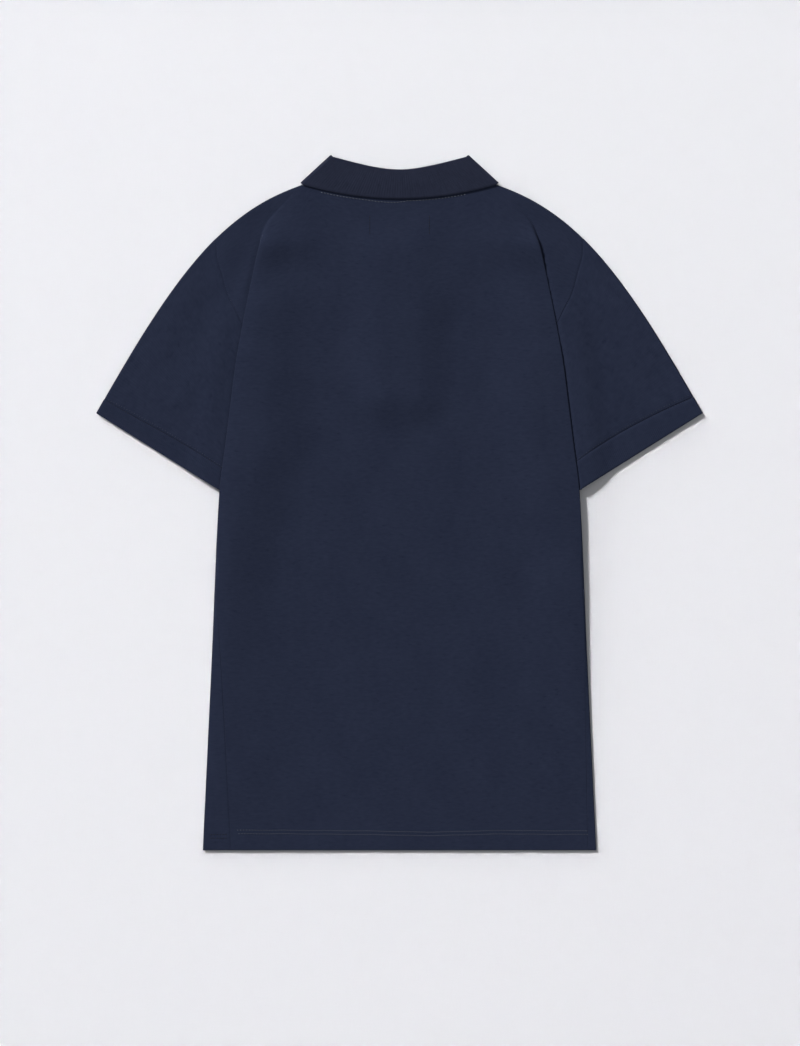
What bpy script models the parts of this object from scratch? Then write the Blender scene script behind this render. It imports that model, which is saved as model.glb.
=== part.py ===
# A short-sleeved knit polo shirt, laid face down on a flat surface: its back is uppermost, its neck
# points to +Y, and the front with the placket and the buttons lies underneath. Every cut piece is a
# wall of cloth made from one open sheet of sections and thickened.
#
# Sizes are in millimetres until a mesh is made. "up" is the distance above the hem, along +Y, and
# "out" is the distance from the centre line, the same on both sides.
import math

import bmesh
import bpy
import numpy as np

MM = 0.001

# cloth
CLOTH = 1.0  # wall of the jersey
RIB = 1.6  # wall of the rib knit and of the doubled placket bands
GAP = 0.3  # air between two layers, and between two pieces at a seam
SEAM_GAP = 0.5  # along the neck and side seams, which curve
LAYER = CLOTH + GAP
RIB_LAYER = RIB + GAP

# body
LENGTH = 736.5  # hem to the highest point of the collar
SEAM_START = 310.0  # above this the sides are tucked in under the arms
FULL_TURN = 345.0  # above this the tuck is folded right under
TURN_BACK = (536.0, 20.0)  # where the tuck begins to open out again, and over what height
CROSSING = 560.0  # above this the armhole seam lies outside the fold
SIDE_RUN = 14.0  # the part of a section, up to the side seam, that follows the side closely
WRAP = {"left": 30.0, "right": 9.0}  # how far the front turns on to the back at the hem

# shoulder and sleeve
SHOULDER_NECK = (111.8, 701.4)
SLEEVE_TIP = (320.7, 462.7)
NECK_HANDLE = (85.0, -20.6)  # length and slope in degrees of the shoulder curve's two handles
TIP_HANDLE = (166.0, -60.7)
SHOULDER_POINT = 194.5  # out, where the armhole seam meets the shoulder
UNDERARM = (150.0, 445.0)
UNDERARM_REACH = 1.016  # the cuff's join slopes a little more than its hem
ARMHOLE_CLEAR = 2.3  # more room where the sleeve's seam comes out from under the fold
STEP_WIDTH = 2.0  # of the step down from the fold to the armhole seam
STEP_SPREAD = (600.0, 80.0, 16.0)  # where that step widens, over what height, and by how much
HEM_SLOPE = 32.05  # degrees, of the sleeve hem
SLEEVE_OPENING = 168.0
CUFF_DEPTH = 18.5

# neck and collar
NECK_POINT = (92.2, 713.2)
BACK_NECK_UP = 696.0
FRONT_NECK_UP = 634.0
BACK_NECK_BEND = 2.2  # powers of the two neck curves
FRONT_NECK_BEND = 1.5
COLLAR_CLEAR = (107.5, 698.2)  # where the shoulder's edge comes out from under the collar
LEAF_DIP = 4.8  # how far it is drawn in beneath the leaf, and over what distance that fades
LEAF_DIP_FADE = 4.5
COLLAR_MIDDLE = 3.65  # height of the plane that the flattened collar folds about
STAND_RISE = RIB_LAYER / 2
LEAF_RISE = STAND_RISE + RIB_LAYER
FOLD_PEAK = (69.6, 733.25)  # the collar's fold, where it turns to the front
FOLD_DIP = 719.25  # up, of the fold at the centre back
FOLD_FRONT = (3.2, 662.0)
SIDE_LEAF = 49.5  # leaf, from the fold to its free edge, along the side
SIDE_SLOPE = -41.15  # degrees, of the collar's side
LEAF_BACK_UP = 691.3
LEAF_POINT = (38.0, 597.0)
NECK_BOW = 32.9  # how soon the fold rises away from the centre back
FRONT_FOLD_SAG = 6.0

# placket and buttons
PLACKET_WIDTH = 32.0
PLACKET_DOWN = 484.0  # up, of the lower end of the opening
BUTTON_RADIUS = 5.5
BUTTON_THICK = 2.4
BUTTON_UP = (617.0, 562.0, 507.0)
HOLE_OUT = 1.5  # from the button's middle to each sewing hole's middle
HOLE_RADIUS = 0.7
LOWER_BAND_START = 4.0  # the lower band begins this far above the opening's end

# how the layers settle over what lies between them
SETTLE = 45.0  # distance that the front takes to come down beside the leaf and the placket
LEAF_MARGIN = 3.0
OVER_LEAF = 2.2
OVER_BUTTONS = BUTTON_THICK + GAP + (RIB - CLOTH) / 2
BACK_OVER_LEAF = 0.6
BACK_OVER_BANDS = RIB_LAYER + 0.8
CARRIED_MARGIN = 6.0  # the back stays level this far inside the tuck, then comes down
CARRIED_SETTLE = 62.0
SLEEVE_MARGIN = 14.0
SLEEVE_SETTLE = 30.0

# The edge that shows on the back: the side, then the fold over the sleeve, up to the shoulder.
EDGE = {
    "up": (0, 381.6, 429, 472, 514, 556, 599, 620, 641, 662.5, 689, 704),
    "out": (208, 190, 184, 178.6, 173.3, 166, 157.4, 152.1, 147.9, 140.5, 116.6, 104),
}
# The armhole seam above the crossing with that fold.
ARMHOLE = {
    "up": (556, 571, 590, 614, 632, 660),
    "out": (166, 173, 182.5, 189.2, 193.8, 194.5),
}
# Tuck under the fold: its depth, the radius of its bend, and the heights of its sewn ends.
TUCK = {
    "up": (310, 328, 345, 364, 400, 440, 500, 536, 556),
    "depth": (0, 4.6, 9.3, 15.5, 24, 32, 22.8, 9.0, 0),
    "bend": (3.2, 1.95, 1.6, 0.65, 0.65, 0.65, 0.65, 0.65, 0.65),
    "back": (5.0, 5.0, 5.0, 6.9, 6.9, 6.6, 6.1, 5.9, 5.3),
    "front": (3.7, 3.7, 3.7, 1.8, 1.8, 1.8, 1.8, 1.8, 2.0),
}
# How high the back is carried at the edge, and how far the sleeve is lifted on to the front.
LIFT = {
    "up": (0, 100, 180, 250, 310, 520, 545, 571, 600, 620, 641, 662, 690, 704),
    "back": (0, 0.4, 1.8, 4.2, 6.4, 6.4, 6.2, 5.2, 3.4, 2.5, 1.6, 0.8, 0.2, 0),
}
SLEEVE_LIFT = {"up": (545, 571, 592, 612), "rise": (2.6, 2.4, 1.0, 0)}

ROWS = (0, 22, 80, 150, 215, 245, 268, 290, 310, 328, 345, 364, 381.6, 415, 450, 484, 512, 536, 556,
        574, 592, 612, 630, 648.6)
ACROSS = (0.12, 0.28, 0.46, 0.66, 0.865, 0.95)
EDGE_STEPS = 7
BEND_STEPS = 4  # of those, round the bend
ROUND_STEPS = 5  # the same where the front runs on to the back

NAVY = (0.0185, 0.0242, 0.0452, 1.0)
RIB_NAVY = (0.0194, 0.0232, 0.0423, 1.0)
BUTTON_NAVY = (0.012, 0.016, 0.032, 1.0)


def ease(t):
    t = np.clip(t, 0.0, 1.0)
    return t * t * (3.0 - 2.0 * t)


def look_up(table, column, up):
    return np.interp(up, table["up"], table[column])


def turned(length, degrees):
    return length * np.array([math.cos(math.radians(degrees)), math.sin(math.radians(degrees))])


def shoulder_curve(t):
    """The outline from the collar to the sleeve's tip, t from 0 to 1, as (out, up)."""
    ends = np.array([SHOULDER_NECK, SLEEVE_TIP])
    points = [ends[0], ends[0] + turned(*NECK_HANDLE), ends[1] - turned(*TIP_HANDLE), ends[1]]
    t = np.asarray(t, float)[..., None]
    return sum(math.comb(3, i) * (1 - t) ** (3 - i) * t**i * p for i, p in enumerate(points))


OUTLINE_T = np.linspace(0, 1, 201)
OUTLINE = shoulder_curve(OUTLINE_T)
SHOULDER_T = float(np.interp(SHOULDER_POINT, OUTLINE[:, 0], OUTLINE_T))
SHOULDER_UP = float(shoulder_curve(SHOULDER_T)[1])


def shoulder_up(out):
    """Height of the panels' shoulder edge, which runs under the collar near the neck."""
    before = SHOULDER_NECK[1] + (SHOULDER_NECK[0] - out) * math.tan(math.radians(-NECK_HANDLE[1]))
    open_edge = np.where(out < SHOULDER_NECK[0], before, np.interp(out, OUTLINE[:, 0], OUTLINE[:, 1]))
    emerging = open_edge - LEAF_DIP * (1 - ease((out - COLLAR_CLEAR[0]) / LEAF_DIP_FADE))
    under = np.interp(out, (NECK_POINT[0], COLLAR_CLEAR[0]), (NECK_POINT[1], COLLAR_CLEAR[1]))
    return np.where(out < COLLAR_CLEAR[0], under, emerging)


def back_top(out):
    share = np.minimum(out / NECK_POINT[0], 1)
    neck = BACK_NECK_UP + (NECK_POINT[1] - BACK_NECK_UP) * share**BACK_NECK_BEND
    return np.where(out <= NECK_POINT[0], neck, shoulder_up(out))


def front_neck(out):
    slot = PLACKET_WIDTH / 2
    t = np.clip((out - slot) / (NECK_POINT[0] - slot), 0, 1)
    return FRONT_NECK_UP + (NECK_POINT[1] - FRONT_NECK_UP) * t**FRONT_NECK_BEND


def front_top(out):
    return np.where(out <= NECK_POINT[0], front_neck(out), shoulder_up(out))


def placket_share(out, up):
    """1 over the placket, easing to 0 beside it."""
    beside = np.maximum(out - PLACKET_WIDTH / 2, 0)
    beyond = np.maximum(np.maximum(PLACKET_DOWN - up, up - FRONT_NECK_UP), 0)
    return 1 - ease(np.hypot(beside, beyond) / SETTLE)


def leaf_share(out, up):
    """1 over the front leaf of the collar and inside it, easing to 0 beyond its free edge."""
    along = np.array([SHOULDER_NECK[0] - LEAF_POINT[0], SHOULDER_NECK[1] - LEAF_POINT[1]])
    along = along / np.linalg.norm(along)
    past_leaf = (out - LEAF_POINT[0]) * along[1] - (up - LEAF_POINT[1]) * along[0]
    return 1 - ease((past_leaf - LEAF_MARGIN) / SETTLE)


def front_height(out, up):
    """Middle of the front's wall: flat on the surface, raised over the collar's leaf and the buttons."""
    over_leaf = OVER_LEAF * leaf_share(out, up)
    over_placket = OVER_BUTTONS * placket_share(out, up)
    return CLOTH / 2 + (over_leaf**4 + over_placket**4) ** 0.25


def back_height(out, up):
    """Middle of the back's wall: one layer above the front, carried by what lies between them."""
    inward = look_up(EDGE, "out", up) - out
    plateau = look_up(TUCK, "depth", up) + CARRIED_MARGIN
    carried = look_up(LIFT, "back", up) * (1 - ease((inward - plateau) / CARRIED_SETTLE))
    near_neck = BACK_OVER_LEAF * leaf_share(out, up)
    under_placket = BACK_OVER_BANDS * placket_share(out, up)
    return front_height(out, up) + LAYER + carried + near_neck + under_placket


def sleeve_height(out, up, along):
    """Middle of the sleeve's lower wall; along is 0 at the armhole and 1 at the cuff."""
    inside = 1 - ease((out - look_up(EDGE, "out", up) - SLEEVE_MARGIN) / SLEEVE_SETTLE)
    return CLOTH / 2 + look_up(SLEEVE_LIFT, "rise", up) * inside + (RIB - CLOTH) / 2 * along


def sleeve_layer(along):
    return LAYER + (RIB_LAYER - LAYER) * along


def shoulder_height(out, up):
    """Middle of the front's wall between the fold and the armhole seam, level with the sleeve there."""
    edge, seam = look_up(EDGE, "out", up), look_up(ARMHOLE, "out", up)
    low, high = front_height(edge, up), sleeve_height(seam, up, 0.0)
    start = edge - STEP_WIDTH
    return low + (high - low) * ease((out - start) / np.maximum(seam - start, 1.0))


def tuck_section(up, flat, ends, way):
    """The fold and the tuck under it as (out, height); way is -1 where the cloth bends down."""
    steps = np.arange(EDGE_STEPS + 1)
    inward = np.clip(steps - BEND_STEPS, 0, None) / (EDGE_STEPS - BEND_STEPS)
    bend, depth = look_up(TUCK, "bend", up), look_up(TUCK, "depth", up)
    folding = ease((up - SEAM_START) / (FULL_TURN - SEAM_START))
    folded = folding * (1 - ease((up - TURN_BACK[0]) / TURN_BACK[1]))
    turn = np.minimum(steps / BEND_STEPS, 1) * math.pi / 2 * (1 + folded)
    out = look_up(EDGE, "out", up) - bend + bend * np.sin(turn) - depth * inward
    bent = flat + way * bend * (1 - np.cos(turn))
    return out, bent + (look_up(TUCK, ends, up) - bent) * inward


def back_round_side(up, side):
    """Below the tuck: along the flat and the side's bend, as far as the seam."""
    edge = look_up(EDGE, "out", up)
    radius = (back_height(edge, up) - front_height(edge, up)) / 2
    wrapped = WRAP[side] * (1 - up / SEAM_START)
    reach = math.pi / 2 * radius - wrapped - SEAM_GAP / 2
    at = reach - SIDE_RUN * (1 - np.arange(EDGE_STEPS + 1) / EDGE_STEPS)
    turn = np.clip(at, 0, None) / radius
    flat_out = edge - radius + np.minimum(at, 0)
    return flat_out + radius * np.sin(turn), back_height(flat_out, up) - radius * (1 - np.cos(turn))


def back_to_armhole(up):
    """Above the crossing: a step down from the fold, then outward to the armhole seam."""
    steps = np.arange(EDGE_STEPS + 1)
    edge, seam = look_up(EDGE, "out", up), look_up(ARMHOLE, "out", up)
    wider = STEP_SPREAD[2] * ease((up - STEP_SPREAD[0]) / STEP_SPREAD[1])
    width = np.minimum(STEP_WIDTH + wider, np.maximum(seam - edge, GAP))
    step = np.minimum(steps / BEND_STEPS, 1)
    beyond = np.clip(steps - BEND_STEPS, 0, None) / (EDGE_STEPS - BEND_STEPS)
    start = edge - LAYER / 2
    out = start + width * step + (seam - start - width) * beyond
    top = back_height(start, up)
    landed = np.maximum(shoulder_height(out, up), sleeve_height(seam, up, 0.0)) + LAYER
    return out, top + (landed - top) * ease(step)


def edge_of_back(up, side):
    """The last stretch of a back section as (out, height): the side, the tuck or the shoulder."""
    top = back_height(look_up(EDGE, "out", up) - look_up(TUCK, "bend", up), up)
    stretches = zip(back_round_side(up, side), back_to_armhole(up), tuck_section(up, top, "back", -1))
    return choose_stretch(up, stretches)


def choose_stretch(up, stretches):
    """The low, high or middle stretch for each section, first of out and then of height."""
    low, high = up <= SEAM_START, up >= CROSSING
    return tuple(np.where(low, a, np.where(high, b, c)) for a, b, c in stretches)


def front_round_side(up, side):
    """Below the tuck: round the side's bend, and along the back where the seam lies on it."""
    steps = np.arange(EDGE_STEPS + 1)
    edge = look_up(EDGE, "out", up)
    low = front_height(edge, up)
    radius = (back_height(edge, up) - low) / 2
    reach = math.pi / 2 * radius + WRAP[side] * (1 - up / SEAM_START) - SEAM_GAP / 2
    past = np.maximum(reach - math.pi * radius, 0)
    beyond = np.clip(steps - ROUND_STEPS, 0, None) / (EDGE_STEPS - ROUND_STEPS)
    on_bend = np.where(past > 1.0, np.minimum(steps / ROUND_STEPS, 1), steps / EDGE_STEPS)
    turn = np.minimum(reach / radius, math.pi) * on_bend
    on_top = past * np.where(past > 1.0, beyond, steps / EDGE_STEPS)
    out = edge - radius + radius * np.sin(turn) - on_top
    over = back_height(out, up) - back_height(edge, up)
    return out, low + radius * (1 - np.cos(turn)) + np.where(turn > math.pi * 0.99, over, 0)


def front_to_armhole(up):
    """Above the crossing: out to the armhole seam."""
    start = look_up(EDGE, "out", up) - STEP_WIDTH
    out = start + (look_up(ARMHOLE, "out", up) - start) * np.arange(EDGE_STEPS + 1) / EDGE_STEPS
    return out, shoulder_height(out, up)


def edge_of_front(up, side):
    """The last stretch of a front section as (out, height), round the side to the seam on the back."""
    low = front_height(look_up(EDGE, "out", up), up)
    return choose_stretch(up, zip(front_round_side(up, side), front_to_armhole(up),
                                  tuck_section(up, low, "front", 1)))


def half_panel(edge_section, top_line, height, side):
    """Sections of one half, a row for each height: arrays of out, up and height."""
    rows = np.array(ROWS, float)[:, None]
    rows = rows + (SHOULDER_UP - ROWS[-1]) * (rows == ROWS[-1])
    curved = ease((rows - CROSSING) / (SHOULDER_UP - CROSSING))
    up = np.repeat(rows, EDGE_STEPS + 1, axis=1)
    for _ in range(12):
        edge_out, edge_high = edge_section(up, side)
        up = rows + (top_line(edge_out) - SHOULDER_UP) * curved
    first = edge_out[:, :1]
    slot = PLACKET_WIDTH / 2 + GAP
    inner = np.array([0.0, slot])
    across = slot + (first - slot) * np.array(ACROSS)
    inner_out = np.hstack([np.repeat(inner[None], len(rows), axis=0), across])
    inner_up = rows + (top_line(inner_out) - SHOULDER_UP) * curved
    inner_high = height(inner_out, inner_up)
    return (
        np.hstack([inner_out, edge_out]),
        np.hstack([inner_up, up]),
        np.hstack([inner_high, edge_high]),
    )


def whole_panel(edge_section, top_line, height):
    """Both halves side by side, from the left edge to the right, as points in millimetres."""
    left = half_panel(edge_section, top_line, height, "left")
    right = half_panel(edge_section, top_line, height, "right")
    out = np.hstack([-left[0][:, :0:-1], right[0]])
    up = np.hstack([left[1][:, :0:-1], right[1]])
    high = np.hstack([left[2][:, :0:-1], right[2]])
    return np.stack([out, up, high], axis=-1)


def sheet_object(name, points, wall, material, collection, closed=False, keep=None, first=0):
    """A grid of points (rows, columns, 3) thickened about its middle; first is each face's first corner."""
    rows, columns = points.shape[:2]
    at = points.reshape(-1, 3) * MM
    at[:, 1] -= LENGTH / 2 * MM
    quads = []
    for row in range(rows - 1):
        for column in range(columns if closed else columns - 1):
            if keep is not None and not keep(row, column):
                continue
            after = (column + 1) % columns
            corners = [row * columns + column, row * columns + after,
                       (row + 1) * columns + after, (row + 1) * columns + column]
            quads.append(corners[first:] + corners[:first])
    used = sorted({i for quad in quads for i in quad})
    place = {old: new for new, old in enumerate(used)}
    mesh = bpy.data.meshes.new(name)
    mesh.from_pydata(at[used].tolist(), [], [[place[i] for i in quad] for quad in quads])
    mesh.materials.append(material)
    mesh.shade_smooth()
    cloth = bpy.data.objects.new(name, mesh)
    collection.objects.link(cloth)
    wall_modifier = cloth.modifiers.new("wall", "SOLIDIFY")
    wall_modifier.thickness = wall * MM
    wall_modifier.offset = 0.0
    wall_modifier.use_even_offset = True
    wall_modifier.use_quality_normals = True
    return cloth


def plain_material(name, colour, roughness):
    material = bpy.data.materials.new(name)
    material.use_nodes = True
    shader = material.node_tree.nodes["Principled BSDF"]
    shader.inputs["Base Color"].default_value = colour
    shader.inputs["Roughness"].default_value = roughness
    shader.inputs["Metallic"].default_value = 0.0
    return material


def armhole_curve(across):
    """The sleeve's own edge, just outside the panels' seam, from the shoulder to the underarm."""
    out, up, _ = half_panel(edge_of_back, back_top, back_height, "right")
    hole_up = SHOULDER_UP + (UNDERARM[1] - SHOULDER_UP) * across
    hole_out = np.interp(hole_up, up[:, -1], out[:, -1])
    clear = ARMHOLE_CLEAR * ease((hole_up - 500.0) / 36.0) * (1 - ease((hole_up - 585.0) / 25.0))
    return np.stack([hole_out + GAP + clear, hole_up], axis=-1)


def sleeve_patch(across, along):
    """Plan of a flattened sleeve: across 0 at the shoulder edge and 1 at the underarm fold."""
    hem_in = np.array(SLEEVE_TIP) - turned(SLEEVE_OPENING, HEM_SLOPE)
    rise = turned(CUFF_DEPTH, HEM_SLOPE + 90)
    join_t = float(np.interp(SLEEVE_TIP[1] + rise[1], OUTLINE[::-1, 1], OUTLINE_T[::-1]))
    under = np.array(UNDERARM)
    inner_length = np.linalg.norm(under - hem_in)
    join_in = hem_in + (under - hem_in) * CUFF_DEPTH * UNDERARM_REACH / inner_length
    join_out = shoulder_curve(join_t)
    start = shoulder_curve(SHOULDER_T)
    s, t = np.asarray(across, float)[..., None], np.asarray(along, float)[..., None]
    armhole = armhole_curve(s[..., 0])
    outer = shoulder_curve(SHOULDER_T + (join_t - SHOULDER_T) * t[..., 0])
    inner = under + (join_in - under) * t
    hem = join_out + (join_in - join_out) * s
    corners = (1 - s) * (1 - t) * start + s * (1 - t) * under + (1 - s) * t * join_out + s * t * join_in
    return (1 - t) * armhole + t * hem + (1 - s) * outer + s * inner - corners


def cuff_patch(across, along):
    """Plan of a flattened cuff, from its join with the sleeve to the hem."""
    join = sleeve_patch(across, np.ones_like(along))
    tip = np.array(SLEEVE_TIP)
    hem = tip - turned(SLEEVE_OPENING, HEM_SLOPE) * np.asarray(across, float)[..., None]
    start = GAP / CUFF_DEPTH
    t = (start + (1 - start) * np.asarray(along, float))[..., None]
    return join + (hem - join) * t


def flat_tube(patch, rows, across, along_of):
    """A tube pressed flat: its upper half, the bend, its lower half and the other bend."""
    s, v = np.meshgrid(across, rows)
    along = along_of(v)
    plan = patch(s, v)
    low = sleeve_height(plan[..., 0], plan[..., 1], along)
    layer = sleeve_layer(along)
    half = layer[:, :1] / 2
    upper = np.dstack([plan, low + layer])
    lower = np.dstack([plan, low])

    def bend(column, inner, sign):
        outward = plan[:, column] - plan[:, inner]
        outward /= np.linalg.norm(outward, axis=1, keepdims=True)
        angles = np.radians([45.0, 90.0, 135.0])
        middle = low[:, column] + layer[:, column] / 2
        rolled = [
            np.column_stack([plan[:, column] - outward * half * (1 - math.sin(a)),
                             middle + sign * half[:, 0] * math.cos(a)])
            for a in angles
        ]
        return np.stack(rolled, axis=1), outward

    shoulder, shoulder_way = bend(0, 1, -1)
    under, under_way = bend(-1, -2, 1)
    for half_sheet in (upper, lower):
        half_sheet[:, 0, :2] -= shoulder_way * half
        half_sheet[:, -1, :2] -= under_way * half
    return np.concatenate([upper, under, lower[:, ::-1], shoulder], axis=1)


def mirrored(points):
    flipped = points.copy()
    flipped[..., 0] *= -1
    return flipped[:, ::-1]


def neck_edge(edge_section, top_line, out):
    """Height of the collar's seam, just above the top edge of a panel as it is cut."""
    panel_out, panel_up, _ = half_panel(edge_section, top_line, front_height, "right")
    return np.interp(out, panel_out[-1], panel_up[-1]) + SEAM_GAP


def collar_points():
    """Rulings from the centre front, round the side and the back, to the centre front again."""
    down_side = turned(1.0, SIDE_SLOPE)
    outward = np.array([-down_side[1], down_side[0]])
    peak = np.array(FOLD_PEAK)
    side_free = peak + down_side * SIDE_LEAF
    side_seam = np.array(NECK_POINT) + (0.0, SEAM_GAP)

    def back(t):
        out = FOLD_PEAK[0] * t
        swell = np.hypot(1, out / NECK_BOW) - 1
        swell = swell / (math.hypot(1, FOLD_PEAK[0] / NECK_BOW) - 1)
        fold = np.column_stack([out, FOLD_DIP + (FOLD_PEAK[1] - FOLD_DIP) * swell])
        seam_out = side_seam[0] * t
        seam = np.column_stack([seam_out, neck_edge(edge_of_back, back_top, seam_out)])
        free = np.column_stack([side_free[0] * t, LEAF_BACK_UP + (side_free[1] - LEAF_BACK_UP) * t**2])
        return fold, seam, free, np.zeros_like(t)

    def side(t):
        count = len(t)
        return tuple(np.repeat(p[None], count, axis=0) for p in (peak, side_seam, side_free)) + (math.pi * t,)

    def front(t):
        fold = peak + (np.array(FOLD_FRONT) - peak) * t[:, None]
        fold[:, 1] -= FRONT_FOLD_SAG * np.sin(math.pi * t)
        seam_out = side_seam[0] + (PLACKET_WIDTH / 2 - side_seam[0]) * t
        seam = np.column_stack([seam_out, neck_edge(edge_of_front, front_top, seam_out)])
        free = side_free + (np.array(LEAF_POINT) - side_free) * t[:, None]
        return fold, seam, free, np.full_like(t, math.pi)

    stretches = (back(np.linspace(0, 1, 8)), side(np.linspace(0, 1, 7)[1:-1]), front(np.linspace(0, 1, 8)))
    fold, seam, free, angle = (np.concatenate(part) for part in zip(*stretches))
    stand_rise, leaf_rise = STAND_RISE, LEAF_RISE
    columns = []
    up_way = (fold - seam) / np.linalg.norm(fold - seam, axis=1, keepdims=True)
    for share in (0.0, 0.5, 1.0):
        columns.append((seam + (fold - seam) * share, stand_rise))
    for degrees in (45, 90, 135):
        turn = math.radians(degrees)
        rise = stand_rise + (leaf_rise - stand_rise) * (1 - math.cos(turn)) / 2
        columns.append((fold + up_way * math.sin(turn) * (leaf_rise - stand_rise) / 2, rise))
    for share in (0.0, 0.35, 0.7, 1.0):
        columns.append((fold + (free - fold) * share, leaf_rise))
    points = []
    for plan, rise in columns:
        beside = plan + outward * (rise * np.sin(angle))[:, None]
        points.append(np.column_stack([beside, COLLAR_MIDDLE + rise * np.cos(angle)]))
    right = np.stack(points, axis=1)
    left = right[:0:-1].copy()
    left[..., 0] *= -1
    return np.concatenate([left, right])


def band_points(down, extra):
    """A placket band laid along the front, its wall moved up by extra."""
    out = np.linspace(-PLACKET_WIDTH / 2, PLACKET_WIDTH / 2, 5)
    up = np.linspace(PLACKET_DOWN + down, FRONT_NECK_UP - GAP, 7)
    out, up = np.meshgrid(out, up)
    high = front_height(np.abs(out), up) + extra
    return np.dstack([out, up, high])


def button(name, up, material, collection):
    """A round button, before its holes are cut."""
    surface = front_height(0.0, up) - RIB / 2 - GAP
    bpy.ops.mesh.primitive_cylinder_add(vertices=24, radius=BUTTON_RADIUS * MM, depth=BUTTON_THICK * MM)
    disc = bpy.context.object
    disc.name = disc.data.name = name
    disc.location = (0, (up - LENGTH / 2) * MM, (surface - BUTTON_THICK / 2) * MM)
    disc.data.materials.append(material)
    for owner in list(disc.users_collection):
        owner.objects.unlink(disc)
    collection.objects.link(disc)
    return disc


def hole_cutter(name, up, collection):
    """Four pegs that cut a button's sewing holes, joined as one cutter."""
    pegs = bmesh.new()
    for quarter in range(4):
        turn = math.radians(45 + 90 * quarter)
        made = bmesh.ops.create_cone(pegs, cap_ends=True, segments=8, radius1=HOLE_RADIUS * MM,
                                     radius2=HOLE_RADIUS * MM, depth=4 * BUTTON_THICK * MM)
        place = (HOLE_OUT * math.cos(turn) * MM, HOLE_OUT * math.sin(turn) * MM, 0)
        bmesh.ops.translate(pegs, verts=made["verts"], vec=place)
    mesh = bpy.data.meshes.new(name)
    pegs.to_mesh(mesh)
    pegs.free()
    cutter = bpy.data.objects.new(name, mesh)
    cutter.location = (0, (up - LENGTH / 2) * MM, BUTTON_THICK / 2 * MM)
    cutter.hide_render = True
    cutter.display_type = "WIRE"
    collection.objects.link(cutter)
    return cutter


def build():
    for old in list(bpy.data.objects):
        bpy.data.objects.remove(old, do_unlink=True)
    shirt = bpy.data.collections.new("polo_shirt")
    cutters = bpy.data.collections.new("cutters")
    for collection in (shirt, cutters):
        bpy.context.scene.collection.children.link(collection)

    jersey = plain_material("navy_jersey", NAVY, 0.9)
    rib = plain_material("navy_rib", RIB_NAVY, 0.92)
    button_finish = plain_material("navy_button", BUTTON_NAVY, 0.35)

    back = whole_panel(edge_of_back, back_top, back_height)
    sheet_object("back_panel", back, CLOTH, jersey, shirt)

    front = whole_panel(edge_of_front, front_top, front_height)
    centre = (front.shape[1] - 1) // 2
    opening_row = ROWS.index(PLACKET_DOWN)

    def outside_slot(row, column):
        return not (row >= opening_row and column in (centre - 1, centre))

    sheet_object("front_panel", front, CLOTH, jersey, shirt, keep=outside_slot)

    across = [0.0] + [(SHOULDER_UP - up) / (SHOULDER_UP - UNDERARM[1]) for up in ROWS[-2:-10:-1]] + [1.0]
    sleeve = flat_tube(sleeve_patch, np.linspace(0, 1, 9), across, lambda v: v)
    cuff = flat_tube(cuff_patch, np.linspace(0, 1, 3), across, np.ones_like)
    for side, turn, first in (("left", mirrored, 1), ("right", np.copy, 0)):  # so that their facets mirror
        sheet_object("sleeve_" + side, turn(sleeve), CLOTH, jersey, shirt, closed=True, first=first)
        sheet_object("cuff_" + side, turn(cuff), RIB, rib, shirt, closed=True, first=first)

    sheet_object("collar", collar_points(), RIB, rib, shirt)

    sheet_object("placket_upper", band_points(GAP, 0.0), RIB, jersey, shirt)
    sheet_object("placket_lower", band_points(LOWER_BAND_START, RIB_LAYER), RIB, jersey, shirt)

    for number, up in enumerate(BUTTON_UP, start=1):
        disc = button(f"button_{number}", up, button_finish, shirt)
        cut = disc.modifiers.new("holes", "BOOLEAN")
        cut.operation = "DIFFERENCE"
        cut.object = hole_cutter(f"button_holes_{number}", up, cutters)


build()
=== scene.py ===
import math

import bpy
import numpy as np
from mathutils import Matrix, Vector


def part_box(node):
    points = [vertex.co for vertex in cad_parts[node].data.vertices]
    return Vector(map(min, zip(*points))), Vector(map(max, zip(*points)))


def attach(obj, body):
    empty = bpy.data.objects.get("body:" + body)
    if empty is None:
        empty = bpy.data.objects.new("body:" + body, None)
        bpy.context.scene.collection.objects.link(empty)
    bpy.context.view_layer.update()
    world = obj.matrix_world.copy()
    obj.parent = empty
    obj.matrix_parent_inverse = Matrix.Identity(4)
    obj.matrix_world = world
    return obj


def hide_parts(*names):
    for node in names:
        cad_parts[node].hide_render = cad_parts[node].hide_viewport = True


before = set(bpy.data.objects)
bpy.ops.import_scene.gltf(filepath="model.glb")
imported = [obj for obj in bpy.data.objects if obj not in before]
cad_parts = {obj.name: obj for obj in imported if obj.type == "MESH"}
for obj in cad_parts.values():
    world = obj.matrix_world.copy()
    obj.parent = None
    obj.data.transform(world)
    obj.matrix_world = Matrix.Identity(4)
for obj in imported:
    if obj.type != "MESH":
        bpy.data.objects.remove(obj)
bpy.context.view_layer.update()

# Sizes are in millimetres. "up" is the distance above the hem, along +Y. "out" is the distance from
# the centre line, the same on both sides, and side is -1 on the left and 1 on the right.
mm = 0.001
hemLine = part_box("front_panel")[0][1]  # metres, where up is 0

cloth = {
    "jersey": 0.9,  # wall
    "rib": 1.4,
    "seam": 0.04,  # half the gap left where a sleeve or a cuff is sewn on
    "sideSeam": 0.03,  # half the gap left at the side seams
    "frontSeam": 0.15,  # how far the front keeps from its armhole seams and bands
    "gap": 0.3,
    "layer": 1.3,  # from the middle of one layer to the middle of the next
    "ribLayer": 1.9,
}


# shared curves

def ease(t):
    # 0 to 1, level at both ends: three squares less two cubes
    t = np.clip(t, 0.0, 1.0)
    return t * t * (3.0 - 2.0 * t)


def hump(t):
    # a bell: e to the power of minus t squared
    return np.exp(-np.square(t))


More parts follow.
